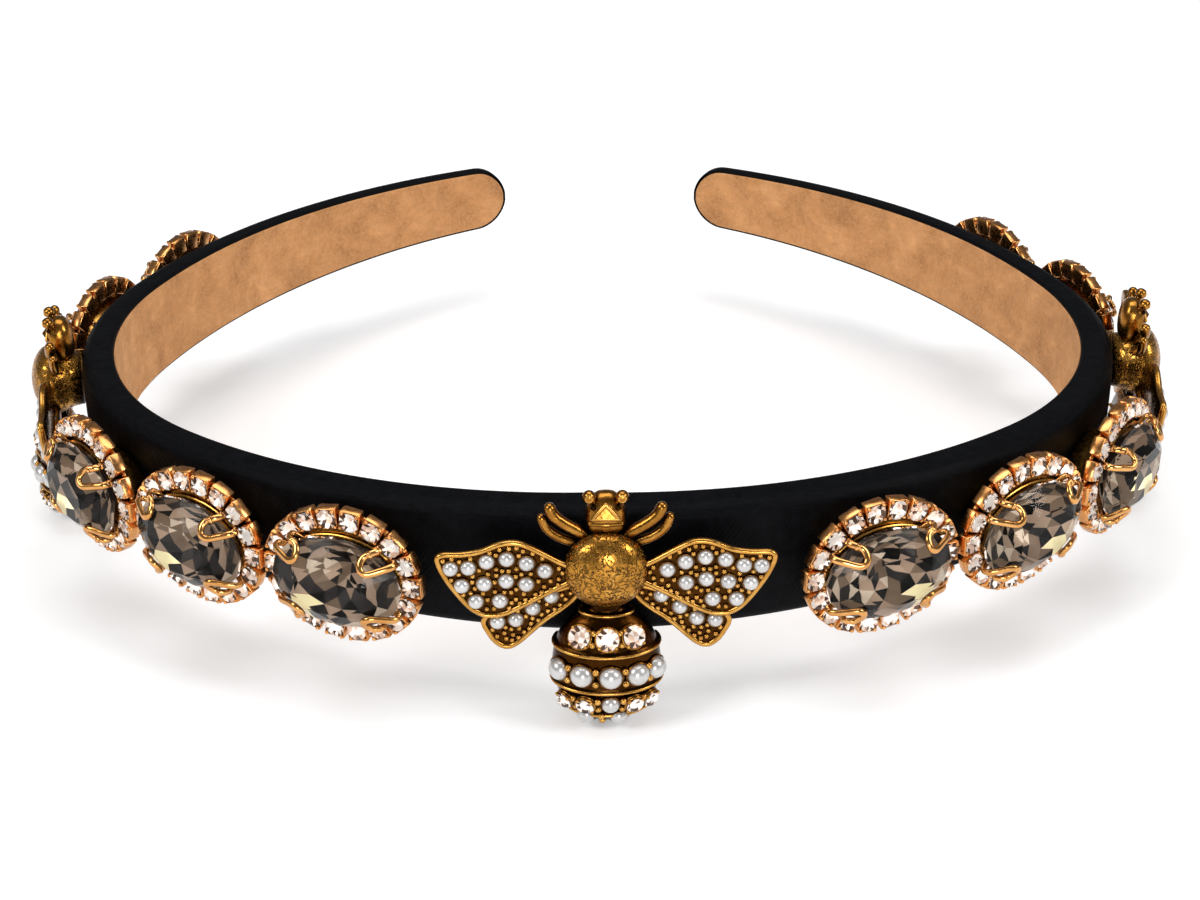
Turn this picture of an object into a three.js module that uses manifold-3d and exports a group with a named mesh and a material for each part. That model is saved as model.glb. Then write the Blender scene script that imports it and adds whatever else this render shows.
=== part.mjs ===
// A padded headband that lies flat on the tips of its three bees. Along its outside sit three cast bees and
// ten oval stones, each stone in a cup with four looped prongs and in a ring of small rhinestones in box cups.
// Millimetres, +Z up. The front bee faces -Y, the open ends of the band point to +Y, and the origin is below
// the middle of the whole object, on the surface that it lies on.

import * as THREE from "three";
import { mergeVertices } from "three/addons/utils/BufferGeometryUtils.js";
import Module from "manifold-3d";

const wasm = await Module();
wasm.setup();

// Plan of the band: each half of the lining's inner face runs from the front as three tangent arcs.
const FRONT_RADIUS = 87.5;
const FRONT_SWEEP = 39.6;
const TEMPLE_RADIUS = 47.2;
const TEMPLE_SWEEP = 68.1;
const TAIL_RADIUS = 99.8;
const TAIL_SWEEP = 47.3;
const FACET_SWEEP = 8.6;

// Section of the band: its full height and its depth from the lining's face to the outer face, at the front.
const BAND_HEIGHT = 18.6;
const BAND_DEPTH = 5.1;
const BAND_CORNER = 1.4;
const BAND_EDGE = 0.6;
const BAND_CORNER_LIMIT = 0.5;
const TIP_ROUNDING = 5.5;
const LINING_THICKNESS = 1.0;
const LINING_MARGIN = 0.8;
const CLEARANCE = 0.3;
const SLIVER = 0.08;

// How the section shrinks from the front (0) to the tip (1), as shares of the height and depth above.
const BAND_TAPER = [
  { along: 0.0, height: 1.0, depth: 1.0 },
  { along: 0.35, height: 0.844, depth: 0.99 },
  { along: 0.55, height: 0.81, depth: 0.967 },
  { along: 0.7, height: 0.773, depth: 0.83 },
  { along: 1.0, height: 0.61, depth: 0.53 },
];

// The rounded end of the band, as shares of its rounding length and of its height there.
const TIP_STEPS = [
  { along: 0.45, height: 0.89 },
  { along: 0.8, height: 0.6 },
  { along: 1.0, height: 0.24 },
];

// The oval stones, with heights measured outwards from the band.
const STONE_LENGTH = 18.0;
const STONE_WIDTH = 13.0;
const STONE_CROWN = 2.4;
const STONE_GIRDLE = 0.4;
const STONE_TABLE = 0.56;
const STONE_SIDES = 16;
const JEWEL_RISE = 0.3;

// The cup that holds each oval stone, and its four hairpin prongs.
const CUP_HEIGHT = 5.6;
const CUP_WALL = 0.4;
const CUP_BASE_INSET = 3.2;
const CUP_RIM_INSET = 0.8;
const SEAT_RISE = 1.2;
const SEAT_INSET = 1.6;
const CUP_FLOOR = 1.0;
const PRONG_WIRE = 0.62;
const PRONG_WIDTH = 3.0;
const PRONG_REACH = 3.7;
const PRONG_ANGLE = 45;
const PRONG_BEND = 0.6;
const PRONG_SIDES = 3;

// The ring of box cups round each oval stone.
const RING_LENGTH = 22.0;
const RING_WIDTH = 19.8;
const RING_CUP_LENGTH = 2.7;
const RING_CUP_WIDTH = 2.5;
const RING_CUP_DEPTH = 1.7;
const RING_CUP_GAP = 0.3;
const RING_LINK_DEPTH = 0.7;
const RING_LINK_INSET = 0.35;
const RING_STANDOFF = 3.8;
const RHINESTONE_CORNER = 0.7;
const RHINESTONE_CROWN = 0.45;
const RHINESTONE_TABLE = 1.1;

// The cast bee. Its heights are measured outwards from the band, and up from the middle of the band.
const THORAX_RADIUS = 5.3;
const THORAX_FOOT = 0.75;
const THORAX_UP = 3.4;
const THORAX_OUT = 4.2;
const THORAX_HEIGHT = 3.1;
const WAIST_LENGTH = 0.3;
const ABDOMEN_WIDTH = 14.3;
const ABDOMEN_LENGTH = 17.2;
const ABDOMEN_DEPTH = 4.7;
const ABDOMEN_OUT = 3.56;
const ABDOMEN_BACK = 1.8;
const ABDOMEN_RIDGE = 0.4;
const WING_SPAN = 21.2;
const WING_CHORD = 11.0;
const WING_UP = 3.02;
const WING_THICKNESS = 0.9;
const WING_OUT = 4.1;
const HINDWING_STEP = 0.7;
const HEAD_WIDTH = 5.2;
const HEAD_LENGTH = 5.0;
const HEAD_DEPTH = 3.9;
const HEAD_OUT = 2.3;
const FEELER_RADIUS = 0.5;
const FEELER_KNOB = 0.8;
const LEG_RADIUS = 0.75;
const BEE_PEARL = 2.8;
const BEE_CRYSTAL = 2.7;

// What sits along each side, from the centre bee backwards, with any room left beyond the least. The two rear
// ovals of each side sit lower on the band.
const CENTRE_BEE_SHIFT = 1.35;
const PLACE_STEP = 0.05;
const REAR_DROP = 2.2;
const LEFT_SIDE = [
  { name: "oval_left_1", kind: "oval", room: 1.65 },
  { name: "oval_left_2", kind: "oval", room: 0 },
  { name: "oval_left_3", kind: "oval", room: 0 },
  { name: "bee_left", kind: "bee", room: 0 },
  { name: "oval_left_4", kind: "oval", room: 0, drop: REAR_DROP },
  { name: "oval_left_5", kind: "oval", room: 0, drop: REAR_DROP },
];
const RIGHT_SIDE = [
  { name: "oval_right_1", kind: "oval", room: 3.45 },
  { name: "oval_right_2", kind: "oval", room: 0.4 },
  { name: "oval_right_3", kind: "oval", room: 0 },
  { name: "bee_right", kind: "bee", room: 0 },
  { name: "oval_right_4", kind: "oval", room: 1.2, drop: REAR_DROP },
  { name: "oval_right_5", kind: "oval", room: 0, drop: REAR_DROP },
];

// Outline of one forewing, out from the bee's middle and up from the wing's level, as shares of the span and
// the chord.
const FOREWING = [
  { out: 0.14, up: 0.06 },
  { out: 0.27, up: 0.19 },
  { out: 0.51, up: 0.44 },
  { out: 0.62, up: 0.43 },
  { out: 0.74, up: 0.335 },
  { out: 0.96, up: 0.295 },
  { out: 1.0, up: 0.22 },
  { out: 0.975, up: 0.04 },
  { out: 0.82, up: -0.43 },
  { out: 0.69, up: -0.56 },
  { out: 0.58, up: -0.52 },
  { out: 0.14, up: -0.04 },
];

// Outline of one hindwing, in the same shares.
const HINDWING = [
  { out: 0.12, up: -0.14 },
  { out: 0.6, up: -0.36 },
  { out: 0.74, up: -0.66 },
  { out: 0.66, up: -0.97 },
  { out: 0.595, up: -1.025 },
  { out: 0.52, up: -0.96 },
  { out: 0.2, up: -0.42 },
];

// Rings of the abdomen from the waist down, by the angle round its side view in degrees. A ridge of 1 stands
// proud by the ridge's full height.
const ABDOMEN_RINGS = [
  { angle: 68, ridge: 1 },
  { angle: 60, ridge: 0 },
  { angle: 43, ridge: 0 },
  { angle: 29, ridge: 0 },
  { angle: 25, ridge: 1 },
  { angle: 21, ridge: 0 },
  { angle: -8, ridge: 0 },
  { angle: -12, ridge: 1 },
  { angle: -16, ridge: 0 },
  { angle: -40, ridge: 0 },
  { angle: -44, ridge: 1 },
  { angle: -66, ridge: 0 },
  { angle: -82, ridge: 0 },
];
const WAIST = { up: 0.12, width: 0.26, depth: 0.3 };

// The large stones of the abdomen: a row's angle down the side view, and each stone's angle to the side.
const ABDOMEN_STONES = [
  { kind: "crystal", angle: 41, aside: [-34, 0, 34] },
  { kind: "pearl", angle: 4, aside: [-58, -27, 3, 33, 62] },
];

// Profiles of a half pearl and of a crystal on the abdomen, as shares of its radius.
const PEARL_RINGS = [
  { out: -0.35, wide: 1.0 },
  { out: 0.35, wide: 0.92 },
  { out: 0.74, wide: 0.45 },
];
const CRYSTAL_RINGS = [
  { out: -0.35, wide: 1.0 },
  { out: 0.4, wide: 0.6 },
];

// Sections of the head from the neck up, as shares of its length, width and depth.
const HEAD_RINGS = [
  { up: -0.4, width: 0.72, depth: 0.62 },
  { up: 0.18, width: 1.0, depth: 0.95 },
  { up: 0.62, width: 1.0, depth: 1.0 },
  { up: 0.88, width: 0.8, depth: 0.8 },
  { up: 1.0, width: 0.5, depth: 0.5 },
];
const HEAD_FOOT = 0.95;

// Routes of the legs and feelers: out to the side and up, as shares of the thorax radius, and how far they
// stand out from the band as a share of the wing's.
const FRONT_LEG = [
  { out: 0.4, up: 0.72, rise: 0.765 },
  { out: 0.95, up: 1.17, rise: 0.8 },
  { out: 1.27, up: 1.56, rise: 0.8 },
];
const SECOND_LEG = [
  { out: 0.55, up: 0.5, rise: 0.685 },
  { out: 1.2, up: 0.86, rise: 0.725 },
  { out: 1.46, up: 1.3, rise: 0.725 },
];
const FEELER = [
  { out: 0.2, up: 1.6, rise: 0.73 },
  { out: 0.4, up: 2.01, rise: 0.875 },
];

const rad = THREE.MathUtils.degToRad;

// Geometry helpers

function geometryOf(points, faces) {
  const geometry = new THREE.BufferGeometry();
  const places = points.flatMap((p) => [p.x, p.y, p.z]);
  geometry.setAttribute("position", new THREE.Float32BufferAttribute(places, 3));
  geometry.setIndex(faces.flat());
  return facingOut(geometry);
}

function facingOut(geometry) {
  const at = geometry.attributes.position;
  const index = geometry.index;
  const corner = (i) => new THREE.Vector3().fromBufferAttribute(at, index.getX(i));
  let volume = 0;
  for (let i = 0; i < index.count; i += 3) {
    volume += corner(i).dot(corner(i + 1).cross(corner(i + 2)));
  }
  if (volume < 0) {
    const turned = [];
    for (let i = 0; i < index.count; i += 3) {
      turned.push(index.getX(i), index.getX(i + 2), index.getX(i + 1));
    }
    geometry.setIndex(turned);
  }
  return geometry;
}

// Joins rings of equal or doubled counts into one closed skin, with a flat face on its first and last ring.
function loft(rings) {
  const points = rings.flat();
  const faces = [];
  let start = 0;
  rings.slice(1).forEach((next, i) => {
    const ring = rings[i];
    const after = start + ring.length;
    faces.push(...bridge(start, ring.length, after, next.length));
    start = after;
  });
  faces.push(...fan(0, rings[0].length).map((f) => f.reverse()));
  faces.push(...fan(start, rings[rings.length - 1].length));
  return geometryOf(points, faces);
}

function fan(start, count) {
  const faces = [];
  for (let i = 1; i < count - 1; i++) {
    faces.push([start, start + i, start + i + 1]);
  }
  return faces;
}

function bridge(a, countA, b, countB) {
  const faces = [];
  if (countA === countB) {
    for (let i = 0; i < countA; i++) {
      const j = (i + 1) % countA;
      faces.push([a + i, a + j, b + j], [a + i, b + j, b + i]);
    }
  } else if (countA < countB) {
    for (let i = 0; i < countA; i++) {
      const j = (i + 1) % countA;
      const before = (2 * i - 1 + countB) % countB;
      const after = (2 * i + 1) % countB;
      faces.push([a + i, b + 2 * i, b + before], [a + i, b + after, b + 2 * i], [a + i, a + j, b + after]);
    }
  } else {
    faces.push(...bridge(b, countB, a, countA).map((f) => f.reverse()));
  }
  return faces;
}

// A rod of few sides through the given points, with flat ends.
function rod(points, radius, sides, endRadius = radius) {
  const rings = points.map((p, i) => {
    const before = points[Math.max(i - 1, 0)];
    const after = points[Math.min(i + 1, points.length - 1)];
    const along = after.clone().sub(before).normalize();
    const across = new THREE.Vector3(0, -1, 0);
    across.addScaledVector(along, -across.dot(along)).normalize();
    const third = along.clone().cross(across);
    const r = i === points.length - 1 ? endRadius : radius;
    return Array.from({ length: sides }, (_, k) => {
      const angle = (2 * Math.PI * k) / sides;
      const sideways = across.clone().multiplyScalar(r * Math.cos(angle));
      return p.clone().add(sideways).addScaledVector(third, r * Math.sin(angle));
    });
  });
  return loft(rings);
}

function solidOf(geometry) {
  const bare = geometry.clone();
  bare.deleteAttribute("normal");
  bare.deleteAttribute("uv");
  const merged = facingOut(mergeVertices(bare, 1e-4));
  return new wasm.Manifold(
    new wasm.Mesh({
      numProp: 3,
      vertProperties: merged.attributes.position.array,
      triVerts: new Uint32Array(merged.index.array),
    }),
  );
}

// One solid of the given pieces, without the slivers that such a union leaves along its seams.
function joined(geometries) {
  const whole = geometries.map(solidOf).reduce((a, b) => a.add(b));
  const mesh = whole.asOriginal().simplify(SLIVER).getMesh();
  const geometry = new THREE.BufferGeometry();
  geometry.setAttribute("position", new THREE.BufferAttribute(new Float32Array(mesh.vertProperties), 3));
  geometry.setIndex(new THREE.BufferAttribute(new Uint32Array(mesh.triVerts), 1));
  return geometry;
}

// Materials

const SATIN = new THREE.MeshStandardMaterial({ color: 0x0b0c10, roughness: 0.6, metalness: 0 });
const SUEDE = new THREE.MeshStandardMaterial({ color: 0xb98a5c, roughness: 0.95, metalness: 0 });
const ANTIQUE_GOLD = new THREE.MeshStandardMaterial({ color: 0x9a6c1f, roughness: 0.35, metalness: 1 });
const ROSE_GOLD = new THREE.MeshStandardMaterial({ color: 0xc98a4b, roughness: 0.25, metalness: 1 });
const SMOKY_GLASS = new THREE.MeshStandardMaterial({ color: 0x6a6058, roughness: 0.05, metalness: 0 });

function meshOf(name, geometry, material) {
  const mesh = new THREE.Mesh(geometry, material);
  mesh.name = name;
  return mesh;
}

// The band's plan and taper

const ARCS = [
  { radius: FRONT_RADIUS, sweep: rad(FRONT_SWEEP) },
  { radius: TEMPLE_RADIUS, sweep: rad(TEMPLE_SWEEP) },
  { radius: TAIL_RADIUS, sweep: rad(TAIL_SWEEP) },
];
const HALF_LENGTH = ARCS.reduce((sum, arc) => sum + arc.radius * arc.sweep, 0);

// The point of the lining's face at a distance from the front along the right half, and its heading there.
function planAt(distance) {
  let left = distance;
  let x = 0;
  let y = 0;
  let heading = 0;
  ARCS.forEach((arc, i) => {
    const last = i === ARCS.length - 1;
    const turn = Math.min(left / arc.radius, last ? Infinity : arc.sweep);
    x += arc.radius * (Math.sin(heading + turn) - Math.sin(heading));
    y += arc.radius * (Math.cos(heading) - Math.cos(heading + turn));
    heading += turn;
    left = Math.max(left - arc.radius * turn, 0);
  });
  return { x, y, heading };
}

function taperAt(distance, column) {
  const share = Math.min(Math.abs(distance) / HALF_LENGTH, 1);
  const i = Math.max(BAND_TAPER.findIndex((row) => row.along >= share), 1);
  const [low, high] = [BAND_TAPER[i - 1], BAND_TAPER[i]];
  const t = (share - low.along) / (high.along - low.along);
  return low[column] + t * (high[column] - low[column]);
}

const heightAt = (distance) => BAND_HEIGHT * taperAt(distance, "height");
const depthAt = (distance) => BAND_DEPTH * taperAt(distance, "depth");

// A point at a distance along the band, so far out from the lining's face and up from mid height.
function bandPoint(distance, out, up) {
  const side = Math.sign(distance) || 1;
  const { x, y, heading } = planAt(Math.abs(distance));
  return new THREE.Vector3(side * (x + out * Math.sin(heading)), y - out * Math.cos(heading), up);
}

// Stations from the left tip to the right tip: facets of the arcs, and the steps of the rounded ends.
function bandStations(shortOfTip) {
  const half = [];
  let start = 0;
  ARCS.forEach((arc, i) => {
    const length = arc.radius * arc.sweep - (i === ARCS.length - 1 ? TIP_ROUNDING + shortOfTip : 0);
    const steps = Math.round((arc.sweep * 180) / Math.PI / FACET_SWEEP);
    const first = i === 0 ? 0.5 : 1;
    for (let k = first; k <= steps; k++) {
      half.push({ distance: start + (length * k) / (i === 0 ? steps - 0.5 + first : steps), height: 1 });
    }
    start += length;
  });
  TIP_STEPS.forEach((step) => {
    half.push({ distance: start + TIP_ROUNDING * step.along, height: step.height });
  });
  const mirrored = half.map((s) => ({ ...s, distance: -s.distance })).reverse();
  return [...mirrored, ...half];
}

function bandBody() {
  const inner = LINING_THICKNESS + CLEARANCE;
  const rings = bandStations(0).map(({ distance, height }) => {
    const h = (heightAt(distance) / 2) * height;
    const outer = depthAt(distance);
    const limit = Math.min(outer - inner, h) * BAND_CORNER_LIMIT;
    const corner = Math.min(BAND_CORNER, limit);
    const edge = Math.min(BAND_EDGE, limit / 2);
    const half = [
      [inner, h - edge],
      [inner + edge, h],
      [outer - corner, h],
      [outer, h - corner],
    ];
    const lower = half.map(([out, up]) => [out, -up]).reverse();
    return [...half, ...lower].map(([out, up]) => bandPoint(distance, out, up));
  });
  return loft(rings);
}

function lining() {
  const rings = bandStations(LINING_MARGIN).map(({ distance, height }) => {
    const h = (heightAt(distance) / 2 - LINING_MARGIN) * height;
    return [
      bandPoint(distance, 0, h),
      bandPoint(distance, LINING_THICKNESS, h),
      bandPoint(distance, LINING_THICKNESS, -h),
      bandPoint(distance, 0, -h),
    ];
  });
  return loft(rings);
}

// Jewels are made in their own frame: x along the band, -y outwards from the band's face, z up.

const outwards = (x, out, z) => new THREE.Vector3(x, -out, z);

function oval(outset, out, sides, share = 1) {
  return Array.from({ length: sides }, (_, i) => {
    const angle = (2 * Math.PI * i) / sides;
    const a = (STONE_LENGTH / 2 + outset) * share;
    const b = (STONE_WIDTH / 2 + outset) * share;
    return outwards(a * Math.cos(angle), out, b * Math.sin(angle));
  });
}

// The cup's wall leans outwards; this is its outset from the stone's edge at a height.
function cupOutset(out) {
  return -CUP_BASE_INSET + ((CUP_BASE_INSET - CUP_RIM_INSET) * out) / CUP_HEIGHT;
}

const GIRDLE_OUT = CUP_HEIGHT + SEAT_RISE;
const CROWN_OUT = GIRDLE_OUT + STONE_GIRDLE;
const TABLE_OUT = CROWN_OUT + STONE_CROWN;
const INNER_WALL = CUP_WALL + CLEARANCE;

function ovalStone() {
  const foot = CUP_FLOOR + CLEARANCE;
  return loft([
    oval(cupOutset(foot) - INNER_WALL - CLEARANCE, foot, STONE_SIDES / 2),
    oval(-SEAT_INSET, CUP_HEIGHT, STONE_SIDES / 2),
    oval(0, GIRDLE_OUT, STONE_SIDES),
    oval(0, CROWN_OUT, STONE_SIDES),
    oval(0, TABLE_OUT, STONE_SIDES / 2, STONE_TABLE),
  ]);
}

// A hairpin of wire: each leg runs out from the cup's rim, climbs past the stone's edge and folds over its
// crown.
function prong(sideways, upwards) {
  const lift = CLEARANCE + PRONG_WIRE / 2;
  const a = STONE_LENGTH / 2;
  const b = STONE_WIDTH / 2;
  const middle = rad(PRONG_ANGLE);
  const speed = Math.hypot(a * Math.sin(middle), b * Math.cos(middle));
  const leg = (PRONG_WIDTH - PRONG_WIRE) / 2;
  const edge = (aside, outset) => {
    const angle = middle + aside / speed;
    const x = sideways * (a + outset) * Math.cos(angle);
    const z = upwards * (b + outset) * Math.sin(angle);
    return new THREE.Vector2(x, z);
  };
  const inwards = edge(0, 0).negate().normalize();
  const slope = STONE_CROWN / ((1 - STONE_TABLE) * edge(0, 0).length());
  const cosSlope = 1 / Math.hypot(1, slope);
  const reach = PRONG_REACH - PRONG_WIRE / 2;
  const half = [1, -1].map((way) => [
    { at: edge(way * leg, -CUP_RIM_INSET - CUP_WALL / 2), out: CUP_HEIGHT - PRONG_WIRE / 2 },
    { at: edge(way * leg, lift), out: (CUP_HEIGHT + GIRDLE_OUT) / 2 },
    { at: edge(way * leg, lift), out: CROWN_OUT + lift / 2 },
    {
      at: edge(way * leg * PRONG_BEND, 0).addScaledVector(inwards, reach),
      out: CROWN_OUT + lift / cosSlope + slope * reach,
    },
  ]);
  const route = [...half[0], ...half[1].reverse()].map(({ at, out }) => outwards(at.x, out, at.y));
  return rod(route, PRONG_WIRE / 2, PRONG_SIDES);
}

function ovalSetting() {
  const cup = loft([
    oval(-CUP_BASE_INSET, 0, STONE_SIDES / 2),
    oval(-CUP_RIM_INSET, CUP_HEIGHT, STONE_SIDES),
    oval(-CUP_RIM_INSET - CUP_WALL, CUP_HEIGHT, STONE_SIDES),
    oval(cupOutset(CUP_FLOOR) - CUP_WALL, CUP_FLOOR, STONE_SIDES / 2),
  ]);
  const prongs = [
    [1, 1],
    [1, -1],
    [-1, 1],
    [-1, -1],
  ].map(([sideways, upwards]) => prong(sideways, upwards));
  return joined([cup, ...prongs]);
}

// The ring of cups follows an oval that is rounder than the big stone and clears its cup.
const RING_FACE_GAP = cupOutset(RING_STANDOFF + RING_CUP_DEPTH) + CLEARANCE + RING_CUP_WIDTH;
const RING_REACH = Math.max(RING_LENGTH, STONE_LENGTH + 2 * RING_FACE_GAP) / 2;
const RING_RISE = Math.max(RING_WIDTH, STONE_WIDTH + 2 * RING_FACE_GAP) / 2;
const RING_A = RING_REACH - RING_CUP_WIDTH / 2;
const RING_B = RING_RISE - RING_CUP_WIDTH / 2;
const RING_FACE = RING_STANDOFF + RING_CUP_DEPTH;

// Places at equal distances round the ring's oval, with the outward direction at each.
function ringPlaces(offset) {
  const curve = new THREE.EllipseCurve(0, 0, RING_A, RING_B, 0, 2 * Math.PI);
  const count = Math.floor(curve.getLength() / (RING_CUP_LENGTH + RING_CUP_GAP));
  return Array.from({ length: count }, (_, i) => {
    const share = ((i + offset) / count) % 1;
    const at = curve.getPointAt(share);
    const along = curve.getTangentAt(share);
    return { at, along, out: new THREE.Vector2(along.y, -along.x) };
  });
}

// One closed skin: each cup's top is a stone with eight edges and a square table, and a notch that goes down
// to the link parts it from the next cup.
function stoneRing() {
  const points = [];
  const faces = [];
  const add = (place, along, aside, out) => {
    const p = place.at.clone().addScaledVector(place.along, along).addScaledVector(place.out, aside);
    points.push(outwards(p.x, out, p.y));
    return points.length - 1;
  };
  const l = RING_CUP_LENGTH / 2;
  const w = RING_CUP_WIDTH / 2;
  const c = RHINESTONE_CORNER;
  const outline = [
    [c - l, -w],
    [l - c, -w],
    [l, c - w],
    [l, w - c],
    [l - c, w],
    [c - l, w],
    [-l, w - c],
    [-l, c - w],
  ];
  const t = RHINESTONE_TABLE / 2;
  const square = [
    [-t, -t],
    [t, -t],
    [t, t],
    [-t, t],
  ];
  const cups = ringPlaces(0).map((place) => ({
    edge: outline.map(([along, aside]) => add(place, along, aside, RING_FACE)),
    table: square.map(([along, aside]) => add(place, along, aside, RING_FACE + RHINESTONE_CROWN)),
    foot: [-w, w].map((aside) => add(place, 0, aside, RING_STANDOFF)),
  }));
  const linkSides = [RING_LINK_INSET - w, w - RING_LINK_INSET];
  const links = ringPlaces(0.5).map((place) =>
    linkSides.map((aside) => add(place, 0, aside, RING_STANDOFF + RING_LINK_DEPTH)),
  );
  cups.forEach(({ edge, table, foot }, i) => {
    const next = cups[(i + 1) % cups.length];
    const [linkIn, linkOut] = links[i];
    for (let k = 0; k < 4; k++) {
      const [a, b, after] = [edge[2 * k], edge[2 * k + 1], edge[(2 * k + 2) % 8]];
      faces.push([a, b, table[k]], [b, table[(k + 1) % 4], table[k]], [b, after, table[(k + 1) % 4]]);
    }
    faces.push([table[0], table[1], table[2]], [table[0], table[2], table[3]]);
    faces.push([edge[3], edge[2], linkIn], [edge[3], linkIn, linkOut]);
    faces.push([linkOut, linkIn, next.edge[7]], [linkOut, next.edge[7], next.edge[6]]);
    faces.push([foot[0], foot[1], next.foot[1]], [foot[0], next.foot[1], next.foot[0]]);
    faces.push([foot[0], edge[1], edge[0]], [foot[0], edge[2], edge[1]], [foot[0], linkIn, edge[2]]);
    faces.push([foot[0], next.foot[0], linkIn], [next.foot[0], next.edge[7], linkIn]);
    faces.push([next.foot[0], next.edge[0], next.edge[7]]);
    faces.push([foot[1], edge[5], edge[4]], [foot[1], edge[4], edge[3]], [foot[1], edge[3], linkOut]);
    faces.push([foot[1], linkOut, next.foot[1]], [next.foot[1], linkOut, next.edge[6]]);
    faces.push([next.foot[1], next.edge[6], next.edge[5]]);
  });
  return geometryOf(points, faces);
}

// Parts of the bee

const ABDOMEN_HALF = ABDOMEN_LENGTH / 2;
const ABDOMEN_UP = THORAX_UP - THORAX_RADIUS - WAIST_LENGTH - ABDOMEN_HALF;

function abdomenSize(angle) {
  const round = Math.cos(rad(angle));
  return { width: round, depth: round };
}

function abdomenRing(up, width, depth) {
  const back = THREE.MathUtils.radToDeg(Math.acos(-Math.min(ABDOMEN_BACK / ABDOMEN_DEPTH, 0.9)));
  const sides = 8;
  return Array.from({ length: sides }, (_, i) => {
    const angle = rad(-back + (2 * back * i) / (sides - 1));
    return outwards(width * Math.sin(angle), ABDOMEN_OUT + depth * Math.cos(angle), up);
  });
}

function abdomen() {
  const rows = ABDOMEN_RINGS.map(({ angle, ridge }) => {
    const { width, depth } = abdomenSize(angle);
    return abdomenRing(
      ABDOMEN_UP + (ABDOMEN_HALF + ridge * ABDOMEN_RIDGE) * Math.sin(rad(angle)),
      (ABDOMEN_WIDTH / 2) * width + ridge * ABDOMEN_RIDGE,
      ABDOMEN_DEPTH * depth + ridge * ABDOMEN_RIDGE,
    );
  });
  const waist = abdomenRing(
    ABDOMEN_UP + ABDOMEN_HALF * (1 + WAIST.up),
    (ABDOMEN_WIDTH / 2) * WAIST.width,
    ABDOMEN_DEPTH * WAIST.depth,
  );
  return loft([waist, ...rows]);
}

// A stone or half pearl seated on the abdomen, facing straight out of its surface.
function abdomenStone(kind, angle, aside) {
  const { width, depth } = abdomenSize(angle);
  const turn = rad(aside);
  const at = outwards(
    (ABDOMEN_WIDTH / 2) * width * Math.sin(turn),
    ABDOMEN_OUT + ABDOMEN_DEPTH * depth * Math.cos(turn),
    ABDOMEN_UP + ABDOMEN_HALF * Math.sin(rad(angle)),
  );
  const facing = outwards(
    Math.sin(turn) / (ABDOMEN_WIDTH / 2),
    (Math.cos(turn) * Math.cos(rad(angle))) / ABDOMEN_DEPTH,
    Math.sin(rad(angle)) / ABDOMEN_HALF,
  ).normalize();
  const pearl = kind === "pearl";
  const r = (pearl ? BEE_PEARL : BEE_CRYSTAL) / 2;
  const rows = pearl ? PEARL_RINGS : CRYSTAL_RINGS;
  const sides = pearl ? 10 : 8;
  const rings = rows.map(({ out, wide }) =>
    Array.from({ length: sides }, (_, k) => {
      const a = (2 * Math.PI * (k + 0.5)) / sides;
      return new THREE.Vector3(r * wide * Math.cos(a), r * wide * Math.sin(a), r * out);
    }),
  );
  const geometry = loft(rings);
  geometry.applyQuaternion(new THREE.Quaternion().setFromUnitVectors(new THREE.Vector3(0, 0, 1), facing));
  return geometry.translate(at.x, at.y, at.z);
}

function thorax() {
  const sides = 12;
  const ring = (out, r) =>
    Array.from({ length: sides }, (_, i) => {
      const a = (2 * Math.PI * i) / sides;
      return outwards(r * Math.cos(a), out, THORAX_UP + r * Math.sin(a));
    });
  const dome = [-28, 0, 24, 46, 68].map((angle) =>
    ring(THORAX_OUT + THORAX_HEIGHT * Math.sin(rad(angle)), THORAX_RADIUS * Math.cos(rad(angle))),
  );
  return loft([ring(0, THORAX_RADIUS * THORAX_FOOT), ...dome]);
}

function head() {
  const foot = THORAX_UP + THORAX_RADIUS * HEAD_FOOT;
  const rings = HEAD_RINGS.map(({ up, width, depth }) =>
    Array.from({ length: 8 }, (_, i) => {
      const a = (2 * Math.PI * (i + 0.5)) / 8;
      const x = (HEAD_WIDTH / 2) * width * Math.cos(a);
      return outwards(x, HEAD_OUT + (HEAD_DEPTH / 2) * depth * Math.sin(a), foot + HEAD_LENGTH * up);
    }),
  );
  return loft(rings);
}

function limbRoute(rows, side) {
  return rows.map(({ out, up, rise }) =>
    outwards(side * THORAX_RADIUS * out, WING_OUT * rise, THORAX_UP + THORAX_RADIUS * up),
  );
}

function wing(rows, side, out) {
  const outline = rows.map((row) => [side * WING_SPAN * row.out, WING_CHORD * row.up]);
  const shape = new THREE.Shape(outline.map(([x, z]) => new THREE.Vector2(x, z)));
  const plate = new THREE.ExtrudeGeometry(shape, { depth: WING_THICKNESS, bevelEnabled: false });
  plate.rotateX(Math.PI / 2);
  return plate.translate(0, -out, WING_UP);
}

function bee() {
  const sides = [-1, 1];
  const pieces = [thorax(), abdomen(), head()];
  sides.forEach((side) => {
    pieces.push(wing(FOREWING, side, WING_OUT));
    pieces.push(wing(HINDWING, side, WING_OUT - HINDWING_STEP));
    pieces.push(rod(limbRoute(FRONT_LEG, side), LEG_RADIUS, 4));
    pieces.push(rod(limbRoute(SECOND_LEG, side), LEG_RADIUS, 4));
    pieces.push(rod(limbRoute(FEELER, side), FEELER_RADIUS, 6, FEELER_KNOB));
  });
  ABDOMEN_STONES.forEach(({ kind, angle, aside }) => {
    aside.forEach((a) => pieces.push(abdomenStone(kind, angle, a)));
  });
  return joined(pieces);
}

// Places along the band

// A point of a jewel in the plan: so far along its own x and so far out from its seat on the band.
function jewelPlanPoint(distance, along, out) {
  const { x, y, heading } = planAt(distance);
  const away = seatAt(distance) + out;
  return new THREE.Vector2(
    x + away * Math.sin(heading) + along * Math.cos(heading),
    y - away * Math.cos(heading) + along * Math.sin(heading),
  );
}

const seatAt = (distance) => depthAt(distance) + JEWEL_RISE;

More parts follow.
